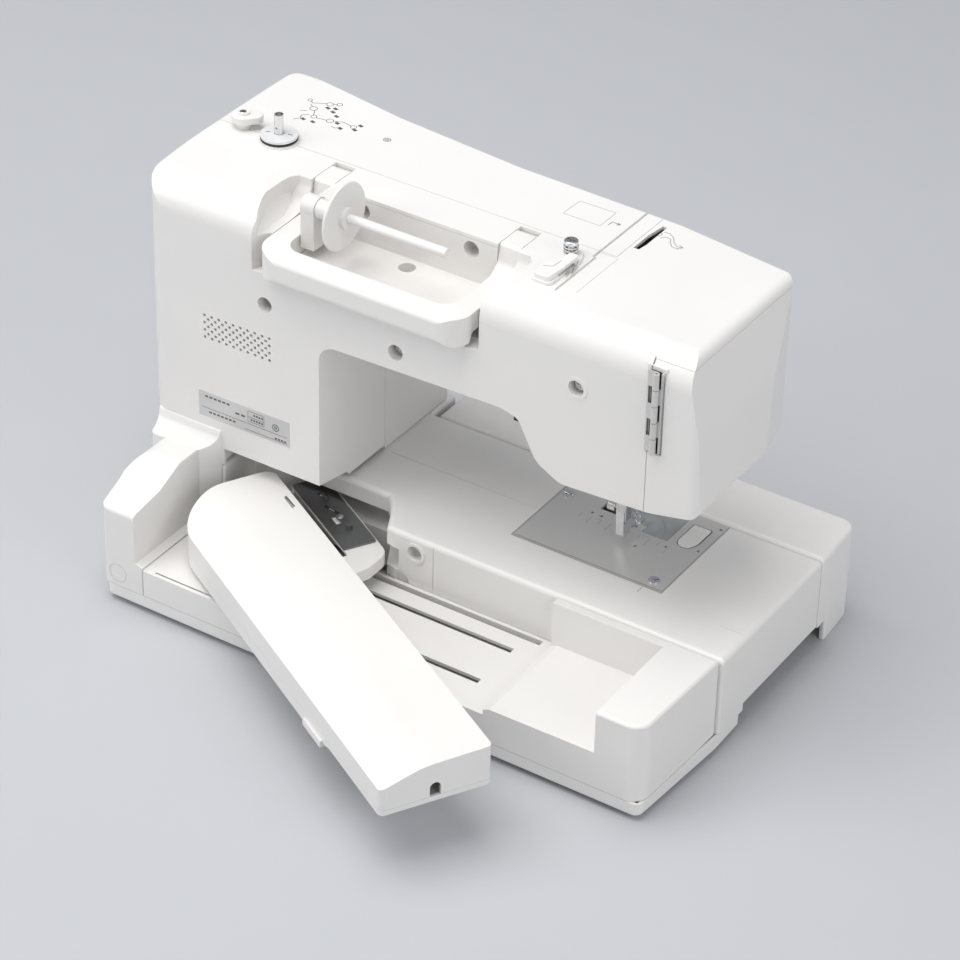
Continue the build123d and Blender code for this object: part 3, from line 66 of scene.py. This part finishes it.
def material(name, colour, rough=0.4, metal=0.0, coat=0.0, vary=0.02, grain=0.0, grain_scale=900.0,
             brushed=None, alpha=1.0, rough_vary=0.05):
    """A procedural finish: soft colour and roughness variation, fine grain, optional brushing."""
    mat = bpy.data.materials.new(name)
    mat.use_nodes = True
    nt = mat.node_tree
    n, ln = nt.nodes, nt.links
    shader = n["Principled BSDF"]
    shader.inputs["Metallic"].default_value = metal
    shader.inputs["Coat Weight"].default_value = coat
    shader.inputs["Coat Roughness"].default_value = COAT_ROUGH
    shader.inputs["Alpha"].default_value = alpha
    coords = n.new("ShaderNodeTexCoord")
    noise = n.new("ShaderNodeTexNoise")
    noise.inputs["Scale"].default_value = CLOUD_SCALE
    noise.inputs["Detail"].default_value = 4
    ln.new(coords.outputs["Object"], noise.inputs["Vector"])
    ramp = n.new("ShaderNodeValToRGB")
    ramp.color_ramp.elements[0].position = 0.3
    ramp.color_ramp.elements[1].position = 0.7
    dark = [c * (1 - vary) for c in colour]
    light = [min(1, c * (1 + vary)) for c in colour]
    ramp.color_ramp.elements[0].color = (*dark, 1)
    ramp.color_ramp.elements[1].color = (*light, 1)
    ln.new(noise.outputs["Fac"], ramp.inputs["Fac"])
    ln.new(ramp.outputs["Color"], shader.inputs["Base Color"])
    spread = n.new("ShaderNodeMapRange")
    spread.inputs["To Min"].default_value = max(0.02, rough - rough_vary)
    spread.inputs["To Max"].default_value = min(1, rough + rough_vary)
    fine = n.new("ShaderNodeTexNoise")
    fine.inputs["Scale"].default_value = grain_scale
    fine.inputs["Detail"].default_value = 3
    ln.new(coords.outputs["Object"], fine.inputs["Vector"])
    if brushed:
        stretch = n.new("ShaderNodeMapping")
        stretch.inputs["Scale"].default_value = brushed
        ln.new(coords.outputs["Object"], stretch.inputs["Vector"])
        ln.new(stretch.outputs["Vector"], fine.inputs["Vector"])
    ln.new(fine.outputs["Fac"] if brushed else noise.outputs["Fac"], spread.inputs["Value"])
    ln.new(spread.outputs["Result"], shader.inputs["Roughness"])
    if grain:
        bump = n.new("ShaderNodeBump")
        bump.inputs["Strength"].default_value = grain
        bump.inputs["Distance"].default_value = BUMP_DEPTH
        ln.new(fine.outputs["Fac"], bump.inputs["Height"])
        ln.new(bump.outputs["Normal"], shader.inputs["Normal"])
    return mat


WHITE = material("shell_plastic", (0.80, 0.787, 0.77), rough=0.36, coat=0.12, vary=0.012, grain=0.10,
                 grain_scale=1800)
# A darker, warmer copy of the shell white: its darker colour is painted shade inside the handle well and in
# the joint round the top plug; its higher roughness without coat is a matte inner finish.
WHITE_SHADED = material("shell_plastic_shaded", (0.78, 0.765, 0.745), rough=0.45, vary=0.015, grain=0.12,
                       grain_scale=1500)
PAN = material("pan_plastic", (0.80, 0.79, 0.775), rough=0.45, vary=0.015, grain=0.15, grain_scale=1400)
STEEL = material("brushed_steel", (0.66, 0.655, 0.64), rough=0.42, metal=0.45, vary=0.04, grain=0.12,
                 grain_scale=1.0, brushed=(400, 9000, 400), rough_vary=0.1)
ROD = material("ground_steel", (0.62, 0.62, 0.63), rough=0.22, metal=1, vary=0.03)
CHROME = material("polished_steel", (0.74, 0.74, 0.75), rough=0.12, metal=1, vary=0.02)
CAST = material("cast_aluminium", (0.45, 0.455, 0.46), rough=0.6, metal=0.7, vary=0.06, grain=0.35,
                grain_scale=700)
BRONZE = material("bush_bronze", (0.45, 0.30, 0.13), rough=0.4, metal=1, vary=0.05)
RUBBER = material("rubber", (0.02, 0.02, 0.021), rough=0.8, vary=0.1, grain=0.3, grain_scale=900)
# Black plastic for the real black parts; the same black also paints the shade in slots, holes, a cross
# recess, the hinge recess and the gap under the winder disc.
BLACK = material("black_plastic_and_painted_shade", (0.015, 0.015, 0.017), rough=0.45, vary=0.05, grain=0.1)
DARK_PLATE = material("dark_plate", (0.20, 0.205, 0.21), rough=0.30, metal=0.85, vary=0.08, grain=0.08)
CLEAR = material("clear_plastic", (0.80, 0.84, 0.85), rough=0.08, vary=0.005, alpha=0.32, coat=0.5)
SCREEN = material("display_glass", (0.03, 0.05, 0.08), rough=0.08, coat=0.6, vary=0.02)
LENS = material("lamp_lens", (0.9, 0.9, 0.86), rough=0.35, vary=0.01)
MOTOR = material("motor_paint", (0.02, 0.02, 0.022), rough=0.35, metal=0.3, vary=0.04)
KEY_LIGHT = material("light_grey_plastic", (0.70, 0.71, 0.71), rough=0.3, coat=0.2, vary=0.02)
KEY = material("key_plastic", (0.55, 0.58, 0.60), rough=0.35, vary=0.02)
# The dark grey serves printed lines and also paints the shadow along the face seam and the shade in the
# winder notches and the arm's top slot.
DARK_INK_AND_SHADE = material("ink_and_shade_grey", (0.10, 0.10, 0.11), rough=0.5, vary=0.03)
# The soft grey serves printed lines and also paints the shade of the dimple on top.
SOFT_INK_AND_SHADE = material("soft_ink_and_shade_grey", (0.30, 0.30, 0.31), rough=0.5, vary=0.03)
LABEL = material("label_silver", (0.62, 0.62, 0.62), rough=0.35, metal=0.35, vary=0.03, grain=0.05,
                 grain_scale=1.0, brushed=(3000, 300, 300))

# The handle well takes the darker copy of the shell white, which paints the shade inside the well.
FINISH = {
    "bottom_pan": PAN, "rubber_feet": RUBBER, "timing_belt": RUBBER, "needle_plate": STEEL,
    "face_hinge_fixed": STEEL, "face_hinge_moving": STEEL, "hinge_pins": CHROME, "needle_bar": ROD,
    "needle_clamp": CHROME, "presser_bar": ROD, "embroidery_foot": CHROME, "main_shaft": ROD,
    "lower_shaft": ROD, "crank": ROD, "rotary_hook": CHROME, "take_up_lever": CHROME, "arm_rails": ROD,
    "x_rails": ROD, "needle": CHROME, "casing_screws": CHROME, "needle_plate_screws": CHROME,
    "winder_spindle": CHROME, "thread_stud": CHROME, "arm_frame": CAST, "x_carriage": CAST,
    "shaft_bushes": BRONZE, "bobbin_case": BLACK, "power_inlet": BLACK, "power_switch": BLACK,
    "presser_lifter": BLACK, "cover_release": WHITE, "upper_pulley": BLACK, "lower_pulley": BLACK,
    "motor_pulley": BLACK, "lower_gear": BLACK, "hook_gear": BLACK, "hoop_plate": DARK_PLATE,
    "hook_cover": CLEAR, "bobbin": CLEAR, "display_screen": SCREEN, "sewing_lamp": LENS,
    "main_motor": MOTOR, "start_button": KEY, "speed_slider": KEY, "handle_well": WHITE_SHADED,
}
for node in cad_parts:
    node_materials = bpy.data.objects[node].data.materials
    node_materials.clear()
    node_materials.append(FINISH.get(node, WHITE))

# ---- Camera -------------------------------------------------------------------------------------------
# Three-quarter view from above, behind the head end, through a long lens.
CAMERA_PLACE = (-1.127180, 1.674555, 1.524804)
LENS_LENGTH, SENSOR = 133.18, 36    # mm
right = Vector((-0.83670804, -0.54727486, 0.02024576))
up = Vector((0.3239416, -0.4647778, 0.82404092))
back = -Vector((0.4415671, -0.6960401, -0.56616842))
camera = bpy.data.objects.new("camera", bpy.data.cameras.new("camera"))
camera.matrix_world = Matrix((
    (right.x, up.x, back.x, CAMERA_PLACE[0]), (right.y, up.y, back.y, CAMERA_PLACE[1]),
    (right.z, up.z, back.z, CAMERA_PLACE[2]), (0, 0, 0, 1)))
camera.data.sensor_width = SENSOR
camera.data.lens = LENS_LENGTH
camera.data.clip_end = 50
scene.collection.objects.link(camera)
scene.camera = camera

# ---- Floor, backdrop and light ------------------------------------------------------------------------
floor_mat = material("studio_floor", (0.50, 0.515, 0.54), rough=0.75, vary=0.004)
floor_mesh = bpy.data.meshes.new("floor")
bm = bmesh.new()
FLOOR_FRONT, FLOOR_REAR, SWEEP, SWEEP_STEPS, WALL_TOP, HALF_WIDTH = 5.0, -2.2, 1.2, 12, 6.0, 6
UNDER_FEET = 0.0002         # keeps the floor just clear of the feet
FLOOR_TURN = 0.5655         # faces the backdrop towards the camera
profile = [(FLOOR_FRONT, 0.0), (FLOOR_REAR, 0.0)]
for k in range(1, SWEEP_STEPS + 1):
    a = k * math.pi / 2 / SWEEP_STEPS
    profile.append((FLOOR_REAR - SWEEP * math.sin(a), SWEEP - SWEEP * math.cos(a)))
profile.append((FLOOR_REAR - SWEEP, WALL_TOP))
rows = [[bm.verts.new((x, y, z - UNDER_FEET)) for x in (-HALF_WIDTH, HALF_WIDTH)] for y, z in profile]
for a, b in zip(rows, rows[1:]):
    bm.faces.new((a[0], a[1], b[1], b[0]))
bm.to_mesh(floor_mesh)
for poly in floor_mesh.polygons:
    poly.use_smooth = True
floor = bpy.data.objects.new("floor", floor_mesh)
floor.data.materials.append(floor_mat)
floor.rotation_euler = (0, 0, FLOOR_TURN)
scene.collection.objects.link(floor)


def area_light(name, place, target, size, power, colour):
    """A soft rectangular lamp at place that looks at target."""
    lamp = bpy.data.lights.new(name, "AREA")
    lamp.shape = "RECTANGLE"
    lamp.size, lamp.size_y = size
    lamp.energy = power
    lamp.color = colour
    obj = bpy.data.objects.new(name, lamp)
    obj.location = place
    obj.rotation_euler = (Vector(target) - Vector(place)).to_track_quat("-Z", "Y").to_euler()
    scene.collection.objects.link(obj)


world = bpy.data.worlds.new("studio")
world.use_nodes = True
world.node_tree.nodes["Background"].inputs["Color"].default_value = (0.84, 0.85, 0.88, 1)
world.node_tree.nodes["Background"].inputs["Strength"].default_value = 0.55
scene.world = world
area_light("key_top", (0.5, 0.3, 2.4), (0, 0, 0.1), (2.2, 2.2), 50, (1, 0.985, 0.965))
area_light("fill_left", (2.2, 2.0, 1.6), (0, 0, 0.15), (1.6, 1.6), 23, (1, 0.995, 0.985))
area_light("fill_right", (-2.4, 0.6, 1.2), (0, 0, 0.15), (1.6, 1.6), 16, (1, 0.99, 0.98))

# ---- Mesh helpers -------------------------------------------------------------------------------------
CREASE = math.radians(35)   # edges sharper than this stay crisp
WIRE_STEPS = 6              # points between two given points of a wire
MARK_STEP = 1.5             # mm between the points of a mark
MARK_ROOT = 0.05            # mm that a mark reaches into the surface
DOWN, FORWARD, BACKWARD = (0, 0, -1), (0, -1, 0), (0, 1, 0)
INK = "plastic_black"       # default for the slot argument of marks()


def piece(name, bm, mat, body):
    """One finished object from a bmesh: smooth with sharp edges kept, and riding on its body."""
    bmesh.ops.recalc_face_normals(bm, faces=bm.faces)
    mesh = bpy.data.meshes.new(name)
    bm.to_mesh(mesh)
    bm.free()
    mesh.shade_smooth()
    mesh.set_sharp_from_angle(angle=CREASE)
    obj = bpy.data.objects.new(name, mesh)
    obj.data.materials.append(mat)
    scene.collection.objects.link(obj)
    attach(obj, body)
    return obj


def skin(*nodes):
    """A ray-cast tree of the outside of some CAD nodes."""
    verts, faces = [], []
    for node in nodes:
        mesh = bpy.data.objects[node].data
        start = len(verts)
        verts += [v.co.copy() for v in mesh.vertices]
        faces += [[start + i for i in poly.vertices] for poly in mesh.polygons]
    return BVHTree.FromPolygons(verts, faces)


def lathe(bm, profile, base, axis=(0, 0, 1), turns=40):
    """Turn a (radius, height) profile in millimetres about an axis through base."""
    turn = Vector(axis).to_track_quat("Z", "Y")
    rings = []
    for r, h in profile:
        ring = []
        for k in range(turns if r > 0 else 1):
            a = 2 * math.pi * k / turns
            ring.append(bm.verts.new(P(*base) + turn @ Vector((r * math.cos(a), r * math.sin(a), h)) / 1000))
        rings.append(ring)
    for low_ring, high_ring in zip(rings, rings[1:]):
        for k in range(turns):
            j = (k + 1) % turns
            quad = [low_ring[k % len(low_ring)], low_ring[j % len(low_ring)],
                    high_ring[j % len(high_ring)], high_ring[k % len(high_ring)]]
            corners = list(dict.fromkeys(quad))
            if len(corners) > 2:
                bm.faces.new(corners)


def tube(bm, points, radius, sides=10):
    """A round wire through smoothed points, closed at both ends."""
    places = [P(*p) for p in points]
    last = len(places) - 1
    path = []
    for k in range(last):
        before, a, b, after = places[max(k - 1, 0)], places[k], places[k + 1], places[min(k + 2, last)]
        for step in range(WIRE_STEPS):
            t = step / WIRE_STEPS
            path.append(0.5 * (2 * a + (b - before) * t + (2 * before - 5 * a + 4 * b - after) * t * t
                               + (3 * a - before - 3 * b + after) * t ** 3))
    path.append(places[-1])
    rings = []
    for k, place in enumerate(path):
        along = (path[min(k + 1, len(path) - 1)] - path[max(k - 1, 0)]).normalized()
        turn = along.to_track_quat("Z", "Y")
        rings.append([bm.verts.new(place + turn @ Vector((math.cos(a), math.sin(a), 0)) * radius / 1000)
                      for a in (2 * math.pi * i / sides for i in range(sides))])
    for one, two in zip(rings, rings[1:]):
        for i in range(sides):
            j = (i + 1) % sides
            bm.faces.new((one[i], one[j], two[j], two[i]))
    bm.faces.new(rings[0])
    bm.faces.new(rings[-1])


def rounded(x0, y0, x1, y1, radius, steps=6):
    """The outline of a rectangle with round corners."""
    points = []
    for cx, cy, turn in ((x1 - radius, y1 - radius, 0), (x0 + radius, y1 - radius, 1),
                         (x0 + radius, y0 + radius, 2), (x1 - radius, y0 + radius, 3)):
        for k in range(steps + 1):
            a = math.pi / 2 * (turn + k / steps)
            points.append((cx + radius * math.cos(a), cy + radius * math.sin(a)))
    return points


def circle(x, y, radius, steps=24, start=0.0, sweep=2 * math.pi):
    """Points round a circle, or along a part of it."""
    turns = [start + sweep * k / steps for k in range(steps + 1)]
    return [(x + radius * math.cos(a), y + radius * math.sin(a)) for a in turns]


def mark(bm, stroke, tree, look, width=0.5, lift=0.06, reach=0.06):
    """A thin raised line that follows a CAD surface: each point of the stroke is dropped along look."""
    look = Vector(look).normalized()
    dense = []
    for a, b in zip(stroke, stroke[1:]):
        a, b = Vector(a), Vector(b)
        count = max(1, math.ceil((b - a).length / MARK_STEP))
        dense += [a + (b - a) * k / count for k in range(count)]
    dense.append(Vector(stroke[-1]))
    found = []
    for point in dense:
        place, normal, _, _ = tree.ray_cast(P(*point), look, reach)
        if place is None:
            continue
        if normal.dot(look) > 0:
            normal = -normal
        found.append((place, normal))
    if len(found) < 2:
        return
    sections = []
    for k, (place, normal) in enumerate(found):
        along = found[min(k + 1, len(found) - 1)][0] - found[max(k - 1, 0)][0]
        side = normal.cross(along).normalized() * width / 2000
        up_by, down_by = normal * lift / 1000, normal * -MARK_ROOT / 1000
        sections.append([bm.verts.new(place + side * s + h) for s, h in
                        ((-1, down_by), (-1, up_by), (1, up_by), (1, down_by))])
    for one, two in zip(sections, sections[1:]):
        for i in range(4):
            j = (i + 1) % 4
            bm.faces.new((one[i], one[j], two[j], two[i]))
    bm.faces.new(sections[0])
    bm.faces.new(sections[-1])


def marks(name, strokes, tree, mat, body="machine", slot=INK, look=DOWN, width=0.5, lift=0.06, reach=0.06):
    """Several lines on one surface as one piece: width and lift in mm, reach of the rays in metres."""
    bm = bmesh.new()
    for stroke in strokes:
        mark(bm, stroke, tree, look, width, lift, reach)
    piece(name, bm, mat, body)


def at_height(z, *lines):
    """Lines of (x, y) points, all at one height."""
    return [[(x, y, z) for x, y in line] for line in lines]


def at_y(y, *lines):
    """Lines of (x, z) points, all in one upright plane."""
    return [[(x, y, z) for x, z in line] for line in lines]


def cross(x, y, z, reach_out):
    """The two lines of a cross recess, for a dark mark that paints the recess's shade."""
    return [[(x - reach_out, y, z), (x + reach_out, y, z)], [(x, y - reach_out, z), (x, y + reach_out, z)]]


SHELL = skin("rear_casing", "front_casing")

# ---- Prints and painted shade on the top casing -------------------------------------------------------
ABOVE_TOP = 312


def top_print_and_shade(name, lines, mat, **how):
    """Lines drawn on the top of the casing: prints, and painted shade of a dimple and round a plug."""
    marks(name, at_height(ABOVE_TOP, *lines), SHELL, mat, **how)


guide_frame = [(204, -78.5), (175, -78.8), (174.9, -57.5), (204.9, -57.8), (204, -78.5)]
guide_arrow = [[(171.1, -61.8), (170.6, -67.2), (164.4, -66.5)],
               [(166.4, -65), (164.2, -66.6), (166.8, -68.2)]]
top_print_and_shade("guide_print", [guide_frame], SOFT_INK_AND_SHADE, width=0.35)
top_print_and_shade("guide_arrow", guide_arrow, DARK_INK_AND_SHADE, width=0.55)

swirl = [(135, -75.7), (130.5, -76), (125.5, -72.8), (122.2, -67.5), (117.6, -63.8), (113.6, -64.8)]
inner_swirl = [(133.1, -67.3), (130.2, -70.6), (126.4, -70.2), (124, -65.4), (120.4, -61.8), (115.2, -61.2)]
swirl_tip = [(116.4, -61.8), (113.4, -64.8), (117.4, -66.6)]
top_print_and_shade("take_up_print", [swirl, inner_swirl, swirl_tip, circle(136.4, -71.2, 2.3)], SOFT_INK_AND_SHADE, width=0.6)

SPOOLS = ((440, -89.5, 1.6), (424.5, -92.5, 2.5), (418.6, -96, 2.0), (430.6, -80.5, 2.8), (423.5, -70.8, 2.2),
          (410.5, -72.4, 2.6), (391.5, -74.6, 2.2))
THREADS = [[(438.6, -88.6), (435.8, -87), (431.6, -89.6), (427, -92)], [(422.6, -94), (419.8, -95)],
           [(433, -82.6), (436.4, -84.8)], [(428.4, -79), (425, -72.6)], [(421.6, -70.2), (413, -71.8)],
           [(433.7, -59.4), (430.2, -63.6), (432.2, -67.6), (428, -71.4)],
           [(408, -73.6), (401.6, -76.2), (394, -75)],
           [(405.2, -66), (401.6, -66), (398.4, -68.4)], [(436.9, -72.8), (433, -75.4)]]
BLOCKS = ((420.8, -86.4), (414.4, -83.6), (415.6, -88.6), (408.6, -79.8), (402.4, -71.8), (396.4, -66.8),
          (386.4, -78.2), (386.6, -70.8), (426.2, -63.2), (418, -63.6))
spool_rings = [circle(x, y, radius, 14) for x, y, radius in SPOOLS]
block_runs = [[(x, y), (x + 3.6, y - 1.2)] for x, y in BLOCKS]
top_print_and_shade("winding_print", spool_rings + THREADS, DARK_INK_AND_SHADE, width=0.5)
top_print_and_shade("winding_print_blocks", block_runs, DARK_INK_AND_SHADE, width=2.6)

DIMPLE, PLUG = (361.5, -73), (405.8, 12.8)
# Two grey rings on the flat top: painted shade of a dimple that is not modelled.
top_print_and_shade("top_dimple_shade", [circle(*DIMPLE, 2.5, 20), circle(*DIMPLE, 1.1, 14)], SOFT_INK_AND_SHADE, width=0.9)
# A ring in the darker shell white round the plug: painted shade in its joint.
top_print_and_shade("top_plug_ring", [circle(*PLUG, 6.2, 30)], WHITE_SHADED, slot="shell_white", width=0.4, lift=0.03)

# ---- Bobbin winder and its stopper --------------------------------------------------------------------
WINDER, WINDER_SEAT, WINDER_DISC = (423.4, -28.5), 299.7, 303.12
STOPPER, STOPPER_TOP = (455.9, -29.9), 308.2
# A black ring in the gap between the winder seat and the rim of the disc above: painted shade of that gap.
bm = bmesh.new()
lathe(bm, [(10.6, 0.0), (13.2, 0.0), (13.6, 0.4), (13.6, 1.2), (13.2, 1.6), (10.6, 1.6), (10.6, 0.0)],
      (*WINDER, WINDER_SEAT), turns=64)
piece("winder_gap_shade", bm, BLACK, "winder")
bm = bmesh.new()
lathe(bm, [(3.6, 0.0), (13.3, 0.0), (13.6, 0.25), (13.3, 0.5), (9.0, 0.45), (6.0, 0.9), (3.6, 1.0),
           (3.6, 0.0)], (*WINDER, WINDER_DISC), turns=64)
piece("winder_face", bm, KEY_LIGHT, "winder")
# Two dark lines on the winder face: painted shade of its notches.
notches = [[(WINDER[0] + dx, WINDER[1] + dy), (WINDER[0] + 1.5 * dx, WINDER[1] + 1.5 * dy)]
           for dx, dy in ((6.2, 2.2), (-6.2, -2.2))]
marks("winder_notch_shade", at_height(308, *notches), skin("winder_face"), DARK_INK_AND_SHADE, "winder", width=0.8)
bm = bmesh.new()
lathe(bm, [(0, 0), (3.5, 0), (3.7, 0.4), (3.6, 1.5), (2.6, 2.3), (0, 2.5)], (*STOPPER, STOPPER_TOP))
piece("stopper_screw", bm, CHROME, "stopper")
# Black lines on the chrome head: painted shade of its cross recess.
marks("stopper_screw_cross_shade", cross(*STOPPER, 314, 1.8), skin("stopper_screw"), BLACK, "stopper", width=0.7)

# ---- Thread guide -------------------------------------------------------------------------------------
bm = bmesh.new()
tube(bm, [(158.4, 13.0, 299.2), (159.3, 8.0, 300.2), (158.4, 1.5, 300.4), (160.3, -5.5, 300.0)], 0.6)
tube(bm, [(156.6, 9.0, 299.4), (157.8, 4.0, 300.2), (160.2, -1.0, 300.8)], 0.5)
piece("guide_spring", bm, CHROME, "machine")
marks("guide_engraving", at_height(312, [(173.4, 17.8), (167.4, 14.6), (166.8, 5.4)]),
      skin("thread_guide", "rear_casing"), SOFT_INK_AND_SHADE, width=0.5)
# A black line on the stud's head: painted shade of its slot.
marks("stud_slot_shade", at_height(316, [(167.6, -13.6), (173.6, -12.4)]), skin("thread_stud"), BLACK, width=1.1)

# ---- Rating label with generic rules and bars ---------------------------------------------------------
BEHIND = 110                # a plane behind the machine, from which marks are laid on its rear wall
LABEL_X, LABEL_Z, LABEL_TALL = (350, 429), 125.5, 21
bm = bmesh.new()
mark(bm, [(x, BEHIND, LABEL_Z) for x in LABEL_X], SHELL, FORWARD, width=LABEL_TALL, lift=0.25, reach=0.2)
piece("rating_label", bm, LABEL, "machine")
label_skin = skin("rating_label")


def label_print(name, lines, width):
    """Lines printed on the rating label."""
    marks(name, at_y(BEHIND, *lines), label_skin, DARK_INK_AND_SHADE, look=FORWARD, width=width, reach=0.2)


rules = [[(352, 122.6), (427, 122.6)], [(352, 117.2), (389, 117.2)]]
rules += [[(x0, z0), (x1, z0), (x1, z1), (x0, z1), (x0, z0)]
          for x0, z0, x1, z1 in ((372, 124.6, 386, 128.6), (372, 128.6, 386, 133.4))]
label_print("label_rules", rules, 0.35)
# Each row of bars: where it starts and stops, its height, and the length of one bar.
BAR_ROWS = ((402, 426, 132.4, 2.6), (388.6, 399, 127.4, 3.4), (372.8, 385, 126.6, 1.6),
            (372.8, 382, 131, 1.6), (397, 421, 119.6, 2.4), (353, 363, 118.6, 1.8))
BAR_PITCH = 1.45            # bar and gap, in bars
bars = []
for start, stop, z, size in BAR_ROWS:
    x = start
    while x + size <= stop:
        bars.append([(x, z), (x + size, z)])
        x += size * BAR_PITCH
label_print("label_bars", bars, 1.5)
label_print("label_dot", [circle(362, 127.6, 2.6, 20), circle(362, 127.6, 0.9, 12)], 0.7)

# ---- Painted shade of the hinge recess, and the face seam shadow --------------------------------------
rear_skin = skin("rear_casing", "face_cover")
# A black strip laid on the rear of the face cover beside the hinge: painted shade of the hinge recess.
marks("hinge_recess_shade", at_y(BEHIND, [(57.6, 221.5), (57.6, 285)]), rear_skin, BLACK, look=FORWARD,
      width=9.4, lift=0.12, reach=0.2)
marks("face_seam_shadow", at_y(BEHIND, [(62.7, 173), (62.7, 221)], [(62.9, 286), (63.2, 292)]), rear_skin,
      DARK_INK_AND_SHADE, look=FORWARD, width=0.55, lift=0.05, reach=0.2)

# ---- Needle plate -------------------------------------------------------------------------------------
ABOVE_BED = 84
plate = skin("needle_plate", "bed_cover")
plate_x0, plate_y0, plate_x1, plate_y1 = corners_mm("needle_plate")


def plate_print_and_shade(name, lines, mat, width, lift=0.04):
    """Lines on the needle plate or the bed beside it."""
    marks(name, at_height(ABOVE_BED, *lines), plate, mat, width=width, lift=lift, reach=0.01)


IN = 0.7                    # mm from the plate's rim to its dark edge
edge = [(plate_x0 + IN, plate_y0 + IN), (plate_x0 + IN, plate_y1 - IN), (plate_x1 - IN, plate_y1 - IN),
        (plate_x1 - IN, plate_y0 + IN)]
plate_print_and_shade("plate_edge", [edge], SOFT_INK_AND_SHADE, 0.5)
rear_line = [(plate_x0 + 1.6, plate_y1 - 2.2), (plate_x1 - 1.6, plate_y1 - 2.2)]
plate_print_and_shade("plate_rear_line", [rear_line], DARK_INK_AND_SHADE, 0.4)
HOLES = ((112.2, -19), (150.5, -36.7), (158.2, -36.7), (72.5, -38.8), (72.2, -70.4))
# Black dots on the plate: painted shade inside its holes.
plate_print_and_shade("plate_hole_shade", [circle(x, y, 1.0, 12) for x, y in HOLES], BLACK, 1.7)
catch = [(91.1, -42.9), (85.7, -36.2), (79.7, -37.2), (76.0, -46), (75.8, -57.2), (75.9, -64.6),
         (82.4, -64.9)]
plate_print_and_shade("plate_catch_line", [catch], DARK_INK_AND_SHADE, 0.6)
scale = [[(x, -33), (x, -33 + (6 if k % 2 else 10))] for k, x in enumerate(range(92, 171, 8))]
plate_print_and_shade("plate_scale", scale, SOFT_INK_AND_SHADE, 0.3, lift=0.03)
plate_print_and_shade("bed_mark", [[(82.9, 26.8), (82.8, 19.8)]], SOFT_INK_AND_SHADE, 0.5)
# Black lines on the two screw heads: painted shade of their slots.
SCREWS, SLOT_HALF = ((183.9, -45.5), (79.4, 8.6)), (2.1, 1.2)
slots = [[(x - SLOT_HALF[0], y - SLOT_HALF[1]), (x + SLOT_HALF[0], y + SLOT_HALF[1])] for x, y in SCREWS]
marks("plate_screw_slot_shade", at_height(ABOVE_BED, *slots), skin("needle_plate_screws"), BLACK, width=0.9,
      lift=0.04, reach=0.02)

# ---- Embroidery arm -----------------------------------------------------------------------------------
ABOVE_HOOP_PLATE = 70
# A dark line on the arm's top: painted shade of a slot.
marks("arm_top_slot_shade", at_height(ABOVE_BED, [(349.4, 70.7), (336.7, 77.5)]),
      skin("arm_cover", "arm_base", "hoop_carriage"), DARK_INK_AND_SHADE, "arm", width=1.4, reach=0.03)
carrier = skin("hoop_plate")
plate_slots = at_height(ABOVE_HOOP_PLATE, [(347.7, 33), (336.8, 36.1)], [(334.3, 43.4), (320.4, 45.8)])
slot_glints = at_height(ABOVE_HOOP_PLATE, [(345.6, 34), (340, 35.4)], [(330, 44.4), (324.6, 45.3)])
# Black strips along the plate's two slots: painted shade inside them.
marks("hoop_plate_slot_shade", plate_slots, carrier, BLACK, "hoop_unit", width=2.4, reach=0.02)
marks("hoop_plate_slot_glints", slot_glints, carrier, CHROME, "hoop_unit", "bright_steel", width=1.0,
      lift=0.12, reach=0.02)
PIN = (316.7, 49.9)
bm = bmesh.new()
pin_foot = carrier.ray_cast(P(*PIN, ABOVE_HOOP_PLATE), Vector(DOWN), 0.03)[0]
lathe(bm, [(0, 0), (2.6, 0), (2.8, 0.4), (2.6, 1.6), (1.6, 2.2), (0, 2.3)], (*PIN, pin_foot.z * 1000))
piece("hoop_plate_pin", bm, CHROME, "hoop_unit")

# ---- Display and start key on the front ---------------------------------------------------------------
IN_FRONT, BEFORE_KEY = -112, -96
TILE_ROWS, TILE_COLUMNS, TILE_START, TILE_PITCH, TILE_HALF = 4, 3, (367, 143), (24, 15), (8.5, 4.6)
tiles = []
for row in range(TILE_ROWS):
    for column in range(TILE_COLUMNS):
        x, z = TILE_START[0] + column * TILE_PITCH[0], TILE_START[1] + row * TILE_PITCH[1]
        outline = rounded(x - TILE_HALF[0], z - TILE_HALF[1], x + TILE_HALF[0], z + TILE_HALF[1], 1.2, 3)
        tiles.append(outline + outline[:1])
marks("display_tiles", at_y(IN_FRONT, *tiles), skin("display_screen"), KEY, "machine", "plastic_blue",
      look=BACKWARD, width=0.4, reach=0.03)
marks("start_symbol", at_y(BEFORE_KEY, circle(72, 200, 3.0, 20, 0.9, 5.1), [(72, 200.5), (72, 204.5)]),
      skin("start_button"), LENS, "start_key", "lamp_white", look=BACKWARD, width=0.6, reach=0.03)
